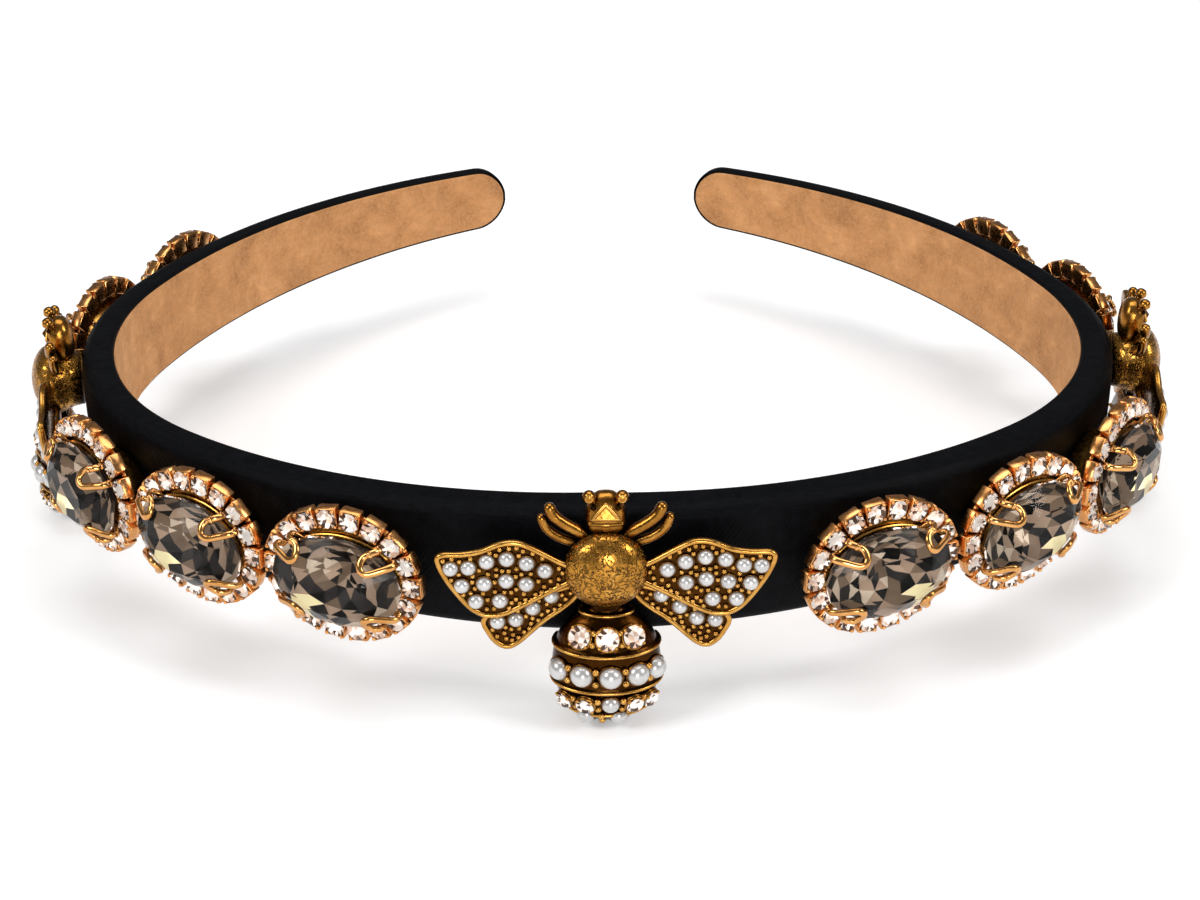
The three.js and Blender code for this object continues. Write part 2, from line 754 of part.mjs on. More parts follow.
// The facing ends of two rings part by the clearance at their backs, measured along the mean heading.
function ringsClear(before, after) {
  const end = jewelPlanPoint(before, RING_REACH, RING_STANDOFF);
  const start = jewelPlanPoint(after, -RING_REACH, RING_STANDOFF);
  const heading = (planAt(before).heading + planAt(after).heading) / 2;
  const direction = new THREE.Vector2(Math.cos(heading), Math.sin(heading));
  return start.sub(end).dot(direction) >= CLEARANCE;
}

// A ring clears a bee where its near end lies beyond the wing or behind it.
function ringClearsBee(bee, ring) {
  const side = Math.sign(ring - bee);
  const { x, y, heading } = planAt(bee);
  const near = jewelPlanPoint(ring, -side * RING_REACH, RING_FACE + RHINESTONE_CROWN / 2);
  const offset = near.sub(new THREE.Vector2(x, y));
  const along = side * (offset.x * Math.cos(heading) + offset.y * Math.sin(heading));
  const out = offset.x * Math.sin(heading) - offset.y * Math.cos(heading) - seatAt(bee);
  return along >= WING_SPAN + CLEARANCE || out <= WING_OUT - CLEARANCE;
}

function clears(before, kindBefore, after, kindAfter) {
  if (kindBefore === "bee") return ringClearsBee(before, after);
  if (kindAfter === "bee") return ringClearsBee(after, before);
  return ringsClear(before, after);
}

// Each jewel moves back in small steps until it clears the one before it.
function placesAlong(rows, start) {
  let distance = start;
  let kind = "bee";
  return rows.map((row) => {
    const before = distance;
    distance += STONE_WIDTH;
    while (!clears(before, kind, distance, row.kind)) {
      distance += PLACE_STEP;
    }
    distance += row.room;
    kind = row.kind;
    return { ...row, distance };
  });
}

// A group whose x runs along the band and whose -y points out of the band's face.
function jewelGroup(side, distance, drop = 0) {
  const group = new THREE.Group();
  const seat = bandPoint(side * Math.max(distance, 0), seatAt(distance), -drop);
  group.position.copy(seat);
  group.rotation.z = side * planAt(distance).heading;
  return group;
}

const geometries = {
  stone: ovalStone(),
  setting: ovalSetting(),
  ring: stoneRing(),
  bee: bee(),
};

function jewel(side, { name, kind, distance, drop }) {
  const group = jewelGroup(side, distance, drop);
  if (kind === "bee") {
    group.add(meshOf(name, geometries.bee, ANTIQUE_GOLD));
  } else {
    group.add(meshOf(name + "_stone", geometries.stone, SMOKY_GLASS));
    group.add(meshOf(name + "_setting", geometries.setting, ANTIQUE_GOLD));
    group.add(meshOf(name + "_ring", geometries.ring, ROSE_GOLD));
  }
  return group;
}

const headband = new THREE.Group();
headband.add(meshOf("band", bandBody(), SATIN));
headband.add(meshOf("lining", lining(), SUEDE));
headband.add(jewel(1, { name: "bee_front", kind: "bee", distance: CENTRE_BEE_SHIFT }));
placesAlong(LEFT_SIDE, -CENTRE_BEE_SHIFT).forEach((row) => headband.add(jewel(-1, row)));
placesAlong(RIGHT_SIDE, CENTRE_BEE_SHIFT).forEach((row) => headband.add(jewel(1, row)));

// The model is moved so that its lowest point is at z = 0 and the middle of its box is over the origin.
const box = new THREE.Box3().setFromObject(headband, true);
const middle = box.getCenter(new THREE.Vector3());
headband.position.set(-middle.x, -middle.y, -box.min.z);

const part = new THREE.Group();
part.add(headband);

export default part;
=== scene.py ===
# A headband that lies on the tips of its three bees: a black satin band with a suede lining, cast bees with
# pearls and crystals, and ten oval stones, each in a cup with looped prongs and in a ring of rhinestones.
# Sizes are in millimetres until a mesh is made, which turns them into metres.

import random
from collections import namedtuple
from math import copysign, cos, exp, hypot, pi, radians, sin, sqrt

import bpy
from mathutils import Matrix, Vector


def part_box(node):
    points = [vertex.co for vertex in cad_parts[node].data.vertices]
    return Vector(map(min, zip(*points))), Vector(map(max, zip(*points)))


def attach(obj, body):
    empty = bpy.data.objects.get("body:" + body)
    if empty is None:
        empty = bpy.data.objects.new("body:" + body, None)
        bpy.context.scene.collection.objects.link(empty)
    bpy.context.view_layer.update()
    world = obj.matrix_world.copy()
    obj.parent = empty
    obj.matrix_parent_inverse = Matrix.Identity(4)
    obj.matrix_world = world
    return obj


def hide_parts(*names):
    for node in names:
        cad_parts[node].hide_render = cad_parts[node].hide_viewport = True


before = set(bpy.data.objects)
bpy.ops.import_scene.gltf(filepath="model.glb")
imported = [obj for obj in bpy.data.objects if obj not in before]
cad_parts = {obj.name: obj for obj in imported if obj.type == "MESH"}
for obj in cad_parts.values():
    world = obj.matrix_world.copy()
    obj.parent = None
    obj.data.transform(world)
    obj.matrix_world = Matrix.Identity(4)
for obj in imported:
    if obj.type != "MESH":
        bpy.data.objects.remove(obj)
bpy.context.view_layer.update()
MM = 0.001
OVAL_SIDES = 64
WIRE_SIDES = 6
UNMOVED = Matrix.Identity(4)
UNTINTED = (1.0, 1.0, 1.0)


def table(columns, rows):
    """Rows of values under named columns."""
    row_of = namedtuple("row_of", columns)
    return [row_of(*row) for row in rows]


# The camera, from the fit of the band's curve to the photograph. Its target is measured from the middle of
# the lining's front.
CAMERA_DISTANCE = 276.5
CAMERA_ELEVATION = 27.93
CAMERA_TURN = 0.435
CAMERA_ROLL = 0.4
CAMERA_TARGET = (0.55, 28.3, 0.0)
LENS = 58.2
SENSOR = 36.0

# Plan of the band: each half of the lining's face runs from the front as three tangent arcs.
BAND_ARCS = table("radius sweep", [(87.5, 39.6), (47.2, 68.1), (99.8, 47.3)])
BAND_HEIGHT = 18.6
BAND_DEPTH = 5.1
BAND_TAPER = table("along height depth", [
    (0.0, 1.0, 1.0),
    (0.35, 0.844, 0.99),
    (0.55, 0.81, 0.967),
    (0.7, 0.773, 0.83),
    (1.0, 0.61, 0.53),
])
BAND_CORNER = 1.7
BAND_EDGE = 0.55
BAND_CROWN = 0.18
BAND_LIP = 0.22
BAND_STEP = 1.3
TIP_ROUNDING = 5.5
TIP_SWEEP = 82
TIP_STEPS = 14
TAPER_EASE = 0.06
BAND_GIRTH = BAND_HEIGHT * 2.4
LINING_THICKNESS = 1.0
LINING_MARGIN = 0.5
LINING_EDGE = 0.25
CLEARANCE = 0.3

# The oval stones, with heights measured outwards from their seat on the band.
STONE_LENGTH = 18.0
STONE_WIDTH = 13.0
STONE_CROWN = 2.4
STONE_GIRDLE = 0.4
STONE_TABLE = 0.56
STONE_DEPTH = 4.6
CUP_HEIGHT = 5.6
CUP_WALL = 0.4
CUP_BASE_INSET = 3.2
CUP_RIM_INSET = 0.8
CUP_FLARE = 0.45
GALLERY_OUT = 4.8
GALLERY_THICKNESS = 0.3
GALLERY_LAP = 0.3
SEAT_RISE = 1.2
CUP_FLOOR = 1.0
PRONG_WIRE = 1.0
PRONG_WIDTH = 3.2
PRONG_REACH = 2.5
PRONG_ANGLE = 45
PRONG_FLATTEN = 0.75
PRONG_SLANT = 0.25
PRONG_KNEE = 0.75
PRONG_ROOT = 4.2
CROWN_OUT = CUP_HEIGHT + SEAT_RISE + STONE_GIRDLE

# The ring of box cups round each oval stone.
RING_LENGTH = 22.0
RING_WIDTH = 19.2
RING_CUP_LENGTH = 2.76
RING_CUP_WIDTH = 2.9
RING_CUP_DEPTH = 1.7
RING_CUP_GAP = 0.24
RING_CUP_WALL = 0.13
BOX_BEVEL = 0.09
BOX_KINDS = 6
RING_LINK_DEPTH = 0.7
RING_LINK_WIDTH = 1.7
RING_STANDOFF = 3.8
RING_SAMPLES = 2000
RHINESTONE_RADIUS = 1.34
RHINESTONE_CROWN = 0.45
RHINESTONE_SUNK = -0.04
RHINESTONE_DEPTH = 0.55
CUP_BEAD = 0.31

# The cast bee, outwards from its seat on the band and upwards from the middle of the band.
THORAX_RADIUS = 5.3
THORAX_UP = 3.4
THORAX_OUT = 4.2
THORAX_HEIGHT = 3.1
DOME_STEPS = 26
WAIST_LENGTH = 0.3
ABDOMEN_WIDTH = 14.3
ABDOMEN_LENGTH = 17.2
ABDOMEN_DEPTH = 4.7
ABDOMEN_OUT = 3.56
ABDOMEN_BACK = 112.5
ABDOMEN_RIDGE = 0.22
RIDGE_WIRE = 0.24
ABDOMEN_HOLLOW = 0.18
ABDOMEN_END = -82
WING_SPAN = 21.2
WING_CHORD = 11.0
WING_UP = 3.02
WING_THICKNESS = 0.9
WING_OUT = 4.1
WING_RIM = 0.38
HINDWING_STEP = 0.7
LEG_RADIUS = 0.75
FEELER_RADIUS = 0.5
FEELER_KNOB = 0.85
WING_PEARL = 2.0
GRAIN = 0.36
GRAIN_SPACING = 0.74
GRAIN_TRIES = 1800

FOREWING = table("out up", [
    (0.14, 0.06), (0.27, 0.19), (0.40, 0.34), (0.51, 0.44), (0.62, 0.43), (0.74, 0.335),
    (0.85, 0.30), (0.96, 0.295), (1.0, 0.22), (0.975, 0.04), (0.91, -0.19), (0.82, -0.43),
    (0.75, -0.53), (0.69, -0.56), (0.58, -0.52), (0.34, -0.26), (0.14, -0.04),
])
HINDWING = table("out up", [
    (0.12, -0.14), (0.36, -0.25), (0.6, -0.36), (0.74, -0.62), (0.715, -0.82),
    (0.66, -0.97), (0.595, -1.025), (0.52, -0.96), (0.37, -0.68), (0.2, -0.42),
])

# Pearls of one wing, out from the bee's middle and up from the wing's level.
FOREWING_PEARLS = table("out up", [
    (19.3, 1.1), (17.1, 1.2), (14.8, 2.05), (12.3, 2.4), (9.85, 1.75), (7.6, 0.65),
    (18.0, -1.4), (15.2, -1.15), (12.45, -0.75), (9.95, -1.25), (16.3, -3.7), (13.3, -3.65),
])
HINDWING_PEARLS = table("out up", [(13.75, -7.2), (11.4, -6.9), (9.25, -5.2), (6.9, -3.45)])

# Rows of the abdomen: ridges by their angle down the side view, and stones by that angle and their turn.
ABDOMEN_RIDGES = [68, 23.5, -12, -44]
ABDOMEN_ROWS = table("angle size kinds turns", [
    (41, 2.9, "ccc", [-35, 1, 35]),
    (4, 3.0, "ppppp", [-59, -27, 4, 34, 62]),
    (-26, 2.4, "ccpcc", [-54, -25, 4, 32, 56]),
    (-48, 2.4, "pp", [-35, 19]),
])

# Routes of the limbs: out, up from the thorax's middle and outwards from the band, as shares of the
# thorax's radius and of the wing's stand-off.
FRONT_LEG = table("out up rise", [
    (0.4, 0.72, 0.765), (0.66, 0.97, 0.83), (0.98, 1.19, 0.85), (1.2, 1.38, 0.83), (1.3, 1.56, 0.8),
])
SECOND_LEG = table("out up rise", [
    (0.55, 0.5, 0.685), (0.78, 0.63, 0.73), (1.11, 0.78, 0.75), (1.38, 1.01, 0.74), (1.49, 1.27, 0.725),
])

# Tints that darken the cast gold: painted shade on the floor of a wing, between the ridges of the abdomen and
# at its waist; the eye pits are made near black and the pearls' seat rings darker.
PAINTED_WING_FLOOR_SHADE = (0.2, 0.15, 0.1)
PAINTED_VALLEY_SHADE = (0.13, 0.095, 0.065)
EYE_PIT = (0.06, 0.05, 0.04)
PEARL_SEAT = (0.5, 0.42, 0.34)

SIDES = {"left": -1, "right": 1}
BEES = ["bee_front", "bee_left", "bee_right"]
OVALS = [f"oval_{side}_{number}" for side in SIDES for number in range(1, 6)]


# Meshes

class Skin:
    """Points in millimetres, faces, and each face's look: a material number, a shading and a tint."""

    def __init__(self):
        self.points = []
        self.faces = []
        self.looks = []

    def add(self, points, faces, slot=0, smooth=True, tint=UNTINTED, place=UNMOVED):
        start = len(self.points)
        self.points += [place @ Vector(p) for p in points]
        self.faces += [[start + i for i in face] for face in faces]
        self.looks += [(slot, smooth, tint)] * len(faces)

    def include(self, other, place, first_slot=0):
        start = len(self.points)
        self.points += [place @ p for p in other.points]
        self.faces += [[start + i for i in face] for face in other.faces]
        self.looks += [(first_slot + slot, smooth, tint) for slot, smooth, tint in other.looks]


def mesh_of(name, skin, materials):
    mesh = bpy.data.meshes.new(name)
    mesh.from_pydata([p * MM for p in skin.points], [], skin.faces)
    for coat in materials:
        mesh.materials.append(coat)
    layer = mesh.color_attributes.new("tint", "FLOAT_COLOR", "CORNER")
    for polygon, (slot, smooth, tint) in zip(mesh.polygons, skin.looks):
        polygon.material_index = slot
        polygon.use_smooth = smooth
        for i in polygon.loop_indices:
            layer.data[i].color = (*tint, 1.0)
    mesh.update()
    return mesh


def placed(name, data, matrix=UNMOVED):
    made = bpy.data.objects.new(name, data)
    bpy.context.scene.collection.objects.link(made)
    made.matrix_world = matrix
    return made


def piece(name, mesh, matrix, solid):
    """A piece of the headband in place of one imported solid."""
    obj = placed(name, mesh, matrix)
    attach(obj, "root")
    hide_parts(solid)
    return obj


def bridge(a, b, count):
    """Faces between two rings of points that start at a and at b."""
    return [[a + i, a + (i + 1) % count, b + (i + 1) % count, b + i] for i in range(count)]


def loft(rings, capped=True):
    """One skin through rings of as many points, with its first and last ring filled if capped."""
    points = [p for ring in rings for p in ring]
    count = len(rings[0])
    faces = []
    for i in range(len(rings) - 1):
        faces.extend(bridge(i * count, (i + 1) * count, count))
    if capped:
        faces.append(list(reversed(range(count))))
        faces.append(list(range(len(points) - count, len(points))))
    return points, faces


def turns(sides, phase=0.0):
    """Angles at equal steps round a circle."""
    return [2 * pi * (k + phase) / sides for k in range(sides)]


def smooth_path(points, steps, closed=False):
    """Points of a smooth curve through the given ones."""
    count = len(points)
    path = []
    for i in range(count if closed else count - 1):
        spots = [(i + k) % count if closed else min(max(i + k, 0), count - 1) for k in (-1, 0, 1, 2)]
        a, b, c, d = (points[spot] for spot in spots)
        for step in range(steps):
            t = step / steps
            path.append(0.5 * (2 * b + (c - a) * t + (2 * a - 5 * b + 4 * c - d) * t * t
                               + (3 * b - a - 3 * c + d) * t ** 3))
    return path if closed else [*path, points[-1]]


def tube(path, radii, sides, closed=False, facing=None, flatten=1.0):
    """A round rod along a path with a radius for each point, thinner by flatten in the way that it faces."""
    rings = []
    last = len(path) - 1
    side = None
    for i, p in enumerate(path):
        before = path[i - 1] if i or closed else p
        after = path[(i + 1) % len(path)] if i < last or closed else p
        along = (after - before).normalized()
        lead = facing or side or along.orthogonal()
        side = (lead - along * lead.dot(along)).normalized()
        third = along.cross(side)
        rings.append([p + side * (radii[i] * flatten * cos(t)) + third * (radii[i] * sin(t))
                      for t in turns(sides)])
    if not closed:
        return loft(rings)
    points, faces = loft(rings, capped=False)
    return points, faces + bridge(last * sides, 0, sides)


ROD_CAPS = table("on wide", [(0.98, 0.25), (0.8, 0.62), (0.45, 0.9)])


def rounded_rod(path, radius, sides, flatten=1.0, facing=None, taper=1.0):
    """A rod whose two ends are rounded off."""
    first = (path[0] - path[1]).normalized()
    last = (path[-1] - path[-2]).normalized()
    end = radius * taper
    points = [path[0] + first * radius * cap.on for cap in ROD_CAPS]
    radii = [radius * cap.wide for cap in ROD_CAPS]
    for i, p in enumerate(path):
        points.append(p)
        radii.append(radius + (end - radius) * i / (len(path) - 1))
    for cap in reversed(ROD_CAPS):
        points.append(path[-1] + last * end * cap.on)
        radii.append(end * cap.wide)
    return tube(points, radii, sides, facing=facing, flatten=flatten)


def ball(centre, radius, sides, rows):
    rings = []
    for row in range(1, rows):
        angle = pi * row / rows
        wide = radius * sin(angle)
        rings.append([centre + p for p in ellipse_ring(wide, wide, radius * cos(angle), sides)])
    return loft(rings)


def ring_bead(radius, wire, sides):
    """A thin wire ring that lies flat."""
    return tube(ellipse_ring(radius, radius, 0, sides), [wire] * sides, WIRE_SIDES, closed=True)


def ellipse_ring(a, b, height, sides, phase=0.0, share=1.0):
    """A ring of points round an oval, at a height along z."""
    return [Vector((a * share * cos(t), b * share * sin(t), height)) for t in turns(sides, phase)]


def seat(at, facing):
    """The place of a small piece whose z points along facing."""
    return Matrix.Translation(at) @ facing.to_track_quat("Z", "Y").to_matrix().to_4x4()


# Node materials

def material(name, recipe, *values):
    """A material whose recipe gives the sockets of its shader."""
    made = bpy.data.materials.new(name)
    made.use_nodes = True
    tree = made.node_tree
    tree.nodes.clear()
    shader = node(tree, "BsdfPrincipled", recipe(tree, *values))
    node(tree, "OutputMaterial", {"Surface": shader.outputs["BSDF"]})
    return made


def node(tree, kind, sockets, **settings):
    """A node, with each socket linked to an output or given a value of its own."""
    made = tree.nodes.new("ShaderNode" + kind)
    for key, value in settings.items():
        setattr(made, key, value)
    for key, value in sockets.items():
        socket = made.inputs[key]
        if isinstance(value, bpy.types.NodeSocket):
            tree.links.new(value, socket)
        else:
            socket.default_value = (*value, 1.0) if socket.type == "RGBA" else value
    return made


def ramp(tree, source, *stops):
    """Colours along a factor, each at its position; a single number is a grey."""
    made = node(tree, "ValToRGB", {"Fac": source})
    elements = made.color_ramp.elements
    while len(elements) < len(stops):
        elements.new(0.5)
    for element, (position, colour) in zip(elements, stops):
        element.position = position
        element.color = (*colour, 1.0) if isinstance(colour, tuple) else (colour, colour, colour, 1.0)
    return made.outputs["Color"]


def noise(tree, scale, detail, roughness, distortion=0.0, at=None):
    """Soft clouds over the object or the given place, with about as many in a metre as the scale says."""
    sockets = {"Vector": at or object_place(tree), "Scale": scale, "Detail": detail, "Roughness": roughness,
               "Distortion": distortion}
    return node(tree, "TexNoise", sockets).outputs["Fac"]


def object_place(tree):
    return node(tree, "TexCoord", {}).outputs["Object"]


def stretched(tree, place, scale):
    return node(tree, "Mapping", {"Vector": place, "Scale": scale}).outputs["Vector"]


def relief(tree, *layers):
    """Bumps laid over one another, each with its height, its depth in metres and its strength."""
    sockets = {}
    for height, distance, strength in layers:
        sockets.update({"Height": height, "Distance": distance, "Strength": strength})
        sockets["Normal"] = node(tree, "Bump", sockets).outputs["Normal"]
    return sockets["Normal"]


def mixed(tree, factor, low, high, blend="MIX"):
    """A mix of two colours; each is a colour or an output."""
    sockets = {0: factor, 6: low, 7: high}
    return node(tree, "Mix", sockets, data_type="RGBA", blend_type=blend).outputs[2]


def recess(tree, distance):
    """1 on open faces and less in grooves."""
    return node(tree, "AmbientOcclusion", {"Distance": distance}, samples=8).outputs["AO"]


def tint_of(tree):
    """The tint that each face was given."""
    return node(tree, "VertexColor", {}, layer_name="tint").outputs["Color"]


def black_satin(tree):
    place = node(tree, "UVMap", {}, uv_map="strip").outputs["UV"]
    folds = noise(tree, 55, 3, 0.5, 0.3, stretched(tree, place, (1.0, 5.0, 1.0)))
    cloud = noise(tree, 700, 4, 0.6, at=place)
    weave = {"Vector": place, "Scale": 900.0, "Distortion": 1.2, "Detail": 2.0}
    threads = node(tree, "TexWave", weave, bands_direction="DIAGONAL").outputs["Fac"]
    return {
        "Base Color": ramp(tree, cloud, (0.3, (0.0012, 0.0013, 0.0018)), (0.75, (0.0042, 0.0046, 0.006))),
        "Roughness": ramp(tree, folds, (0.3, 0.42), (0.7, 0.58)),
        "Specular IOR Level": 0.05,
        "Sheen Weight": 0.006,
        "Sheen Roughness": 0.35,
        "Sheen Tint": (0.55, 0.6, 0.75),
        "Normal": relief(tree, (folds, 0.0006, 0.35), (threads, 0.00004, 0.5), (cloud, 0.00008, 0.5)),
    }


def suede(tree):
    blotches = noise(tree, 170, 5, 0.62, 0.4)
    nap = noise(tree, 1900, 5, 0.7)
    streaks = noise(tree, 420, 4, 0.6, 0.8, stretched(tree, object_place(tree), (1.0, 1.0, 2.5)))
    base = ramp(tree, blotches, (0.32, (0.36, 0.155, 0.050)), (0.5, (0.54, 0.245, 0.086)),
                (0.72, (0.72, 0.36, 0.145)))
    streaked = mixed(tree, ramp(tree, streaks, (0.35, 0), (0.7, 0.5)), base, (0.42, 0.205, 0.09))
    return {
        "Base Color": mixed(tree, ramp(tree, nap, (0.4, 0), (0.75, 0.55)), streaked, (0.70, 0.385, 0.185)),
        "Roughness": 0.95,
        "Specular IOR Level": 0.15,
        "Sheen Weight": 0.12,
        "Sheen Roughness": 0.5,
        "Sheen Tint": (0.95, 0.75, 0.55),
        "Normal": relief(tree, (nap, 0.00022, 0.8), (streaks, 0.0003, 0.4)),
    }


DARK_FINISH = (0.014, 0.008, 0.0035)


def patina(tree, gold):
    """Gold with the dark finish left in its recesses."""
    return mixed(tree, ramp(tree, recess(tree, 0.0012), (0.38, 0), (0.9, 1)), DARK_FINISH, gold)


def plating(tree, colour, roughness, *layers):
    return {"Base Color": colour, "Metallic": 1.0, "Roughness": roughness, "Normal": relief(tree, *layers)}


def antique_gold(tree):
    """Cast gold plating, dark in its recesses and darker where its faces are tinted: painted shade on the
    wing floors, in the abdomen's valleys and at its waist, and darker eye pits and pearl seats.
    """
    cloud = noise(tree, 420, 4, 0.6, 0.3)
    fine = noise(tree, 1500, 4, 0.6)
    gold = ramp(tree, cloud, (0.3, (0.21, 0.086, 0.013)), (0.55, (0.37, 0.162, 0.027)),
                (0.8, (0.62, 0.33, 0.078)))
    toned = patina(tree, mixed(tree, 1.0, gold, tint_of(tree), "MULTIPLY"))
    rough = ramp(tree, fine, (0.3, 0.17), (0.7, 0.3))
    return plating(tree, toned, rough, (cloud, 0.00025, 0.4), (fine, 0.00008, 0.4))


def etched_gold(tree):
    """The thorax's gold, with an etched net of fine lines that is worn away in places."""
    cloud = noise(tree, 420, 4, 0.6, 0.3)
    gold = ramp(tree, cloud, (0.3, (0.32, 0.142, 0.02)), (0.55, (0.50, 0.232, 0.037)),
                (0.8, (0.68, 0.37, 0.088)))
    place = object_place(tree)
    wobble = node(tree, "TexNoise", {"Vector": place, "Scale": 900.0, "Detail": 1.5, "Distortion": 1.0})
    shift = {0: wobble.outputs["Color"], 1: (0.0026, 0.0026, 0.0026), 2: place}
    shifted = node(tree, "VectorMath", shift, operation="MULTIPLY_ADD").outputs["Vector"]
    net = node(tree, "TexVoronoi", {"Vector": shifted, "Scale": 1000.0}, feature="DISTANCE_TO_EDGE")
    etched = ramp(tree, net.outputs["Distance"], (0.0, 0), (0.05, 0.2), (0.11, 1))
    worn = ramp(tree, noise(tree, 260, 5, 0.7, 3.5), (0.3, 0.2), (0.48, 1))
    share = mixed(tree, worn, (1, 1, 1), etched)
    colour = mixed(tree, share, (0.05, 0.025, 0.007), patina(tree, gold))
    rough = ramp(tree, noise(tree, 1500, 4, 0.6), (0.3, 0.17), (0.7, 0.3))
    return plating(tree, colour, rough, (etched, 0.00012, 0.6), (cloud, 0.0002, 0.4))


def polished_gold(tree, dark, light, roughness):
    """Bright plated wire and box cups with slight clouding, and painted shade that darkens their recesses and
    the gaps between the cups.
    """
    fine = noise(tree, 1600, 3, 0.5)
    colour = ramp(tree, noise(tree, 380, 3, 0.5), (0.3, dark), (0.7, light))
    # Painted shade: ambient occlusion darkens the recesses and the gaps between parts.
    depth = ramp(tree, recess(tree, 0.0006), (0.25, 0.2), (0.7, 1))
    rough = ramp(tree, fine, (0.3, roughness * 0.75), (0.7, roughness * 1.3))
    return plating(tree, mixed(tree, 1.0, colour, depth, "MULTIPLY"), rough, (fine, 0.00002, 0.3))


def pearl(tree):
    cloud = noise(tree, 600, 2, 0.5)
    return {
        "Base Color": ramp(tree, cloud, (0.3, (0.50, 0.49, 0.48)), (0.7, (0.61, 0.60, 0.59))),
        "Roughness": ramp(tree, cloud, (0.3, 0.26), (0.7, 0.32)),
        "Metallic": 0.5,
        "Specular IOR Level": 0.7,
        "Coat Weight": 0.5,
        "Coat Roughness": 0.05,
    }


def cut_glass(tree, tint, bend, shine):
    """The clear top of a stone; the coloured foil behind it is a material of its own."""
    lighter = tuple(min(1.0, part * 1.04) for part in tint)
    return {
        "Base Color": ramp(tree, noise(tree, 90, 2, 0.5), (0.3, tint), (0.7, lighter)),
        "Transmission Weight": 1.0,
        "Roughness": 0.0,
        "IOR": bend,
        "Specular IOR Level": shine,
    }


def foil(tree, metallic, roughness, painted_glow):
    """The mirror backing of a cut stone: each facet's own tint is a painted reflection, and a painted glow
    stands in for the light that it throws back.
    """
    shade = ramp(tree, noise(tree, 500, 2, 0.5), (0.3, 0.86), (0.7, 1))
    shown = mixed(tree, 1.0, tint_of(tree), shade, "MULTIPLY")
    return {
        "Base Color": shown,
        # The emission is a painted glow, not a lamp.
        "Emission Color": shown,
        "Emission Strength": painted_glow,
        "Specular IOR Level": 0.1,
        "Metallic": metallic,
        "Roughness": roughness,
    }


# The band's plan

HALF_LENGTH = sum(arc.radius * radians(arc.sweep) for arc in BAND_ARCS)


def plan_at(distance):
    """The lining's face at a distance from the front along the right half, and its heading."""
    x = y = heading = 0.0
    for arc in BAND_ARCS:
        radius = arc.radius
        turn = min(distance / radius, radians(arc.sweep))
        x += radius * (sin(heading + turn) - sin(heading))
        y += radius * (cos(heading) - cos(heading + turn))
        heading += turn
        distance -= radius * turn
    return x, y, heading


def taper_at(distance, column):
    share = min(distance / HALF_LENGTH, 1.0)
    for low, high in zip(BAND_TAPER, BAND_TAPER[1:]):
        if share <= high.along:
            t = (share - low.along) / (high.along - low.along)
            return getattr(low, column) * (1 - t) + getattr(high, column) * t


def smooth_taper(distance, column):
    """The taper with its corners eased."""
    distance = abs(distance)
    reach = HALF_LENGTH * TAPER_EASE
    spots = [min(max(distance + reach * k, 0.0), HALF_LENGTH) for k in (-1, -0.5, 0, 0.5, 1)]
    eased = sum(taper_at(spot, column) for spot in spots) / len(spots)
    near_end = min(distance, HALF_LENGTH - distance) / reach
    plain = taper_at(distance, column)
    return plain + (eased - plain) * min(near_end, 1.0)


# The middle of the lining's front face in the part's frame, in millimetres.
LOW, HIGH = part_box("lining")
ORIGIN = Vector(((LOW.x + HIGH.x) / 2, LOW.y, (LOW.z + HIGH.z) / 2)) / MM + Vector((0, LINING_THICKNESS, 0))


def band_point(distance, out, up):
    side = -1 if distance < 0 else 1
    x, y, heading = plan_at(abs(distance))
    return ORIGIN + Vector((side * (x + out * sin(heading)), y - out * cos(heading), up))


def band_stations(short_of_tip):
    """Distances along the whole band, each with the share of the height left by the rounded ends."""
    straight = HALF_LENGTH - short_of_tip - TIP_ROUNDING
    count = round(2 * straight / BAND_STEP)
    rows = [(-straight + 2 * straight * i / count, 1.0) for i in range(count + 1)]
    sweep = radians(TIP_SWEEP)
    tip = []
    for k in range(1, TIP_STEPS + 1):
        angle = sweep * k / TIP_STEPS
        tip.append((straight + TIP_ROUNDING * sin(angle) / sin(sweep), cos(angle)))
    return [(-d, share) for d, share in reversed(tip)] + rows + tip


def corner(centre_out, centre_up, radius, start, end, steps):
    """A rounded corner of a section, from one angle to another."""
    angles = [radians(start + (end - start) * k / steps) for k in range(steps + 1)]
    return [(centre_out + radius * cos(t), centre_up + radius * sin(t)) for t in angles]


def band_section(height, depth):
    """The padded section of the band: rounded corners, a slightly crowned face and a lip over the lining."""
    inner = LINING_THICKNESS + CLEARANCE
    half = height / 2
    round_out = min(BAND_CORNER, (depth - inner) * 0.6, half * 0.6)
    edge = min(BAND_EDGE, (depth - inner) * 0.35, half * 0.25)
    lip = min(LINING_MARGIN * 0.8, half * 0.3)
    upper = [(inner, half - lip), (BAND_LIP * 1.6, half - lip)]
    upper += corner(BAND_LIP + edge, half - edge, edge, 180, 90, 4)
    upper += corner(depth - round_out, half - round_out, round_out, 90, 0, 7)
    face = half - round_out
    crowned = []
    for k in range(1, 8):
        up = face * (1 - k / 4)
        crowned.append((depth + BAND_CROWN * (1 - (up / face) ** 2), up))
    return upper + crowned + [(out, -up) for out, up in reversed(upper)]


def band_tip_section(height, depth):
    """The band's section at its very end, where the cover is drawn over the lining's groove."""
    shape = band_section(height, depth)
    for k in (0, 1, -1, -2):
        shape[k] = (BAND_LIP, shape[k][1])
    return shape


def lining_section(height, depth):
    half = height / 2 - LINING_MARGIN
    edge = min(LINING_EDGE, half * 0.4)
    upper = corner(edge, half - edge, edge, 180, 90, 3)
    upper += corner(LINING_THICKNESS - edge, half - edge, edge, 90, 0, 3)
    face = [(LINING_THICKNESS, (half - edge) * (1 - k / 3)) for k in range(1, 6)]
    return upper + face + [(out, -up) for out, up in reversed(upper)]


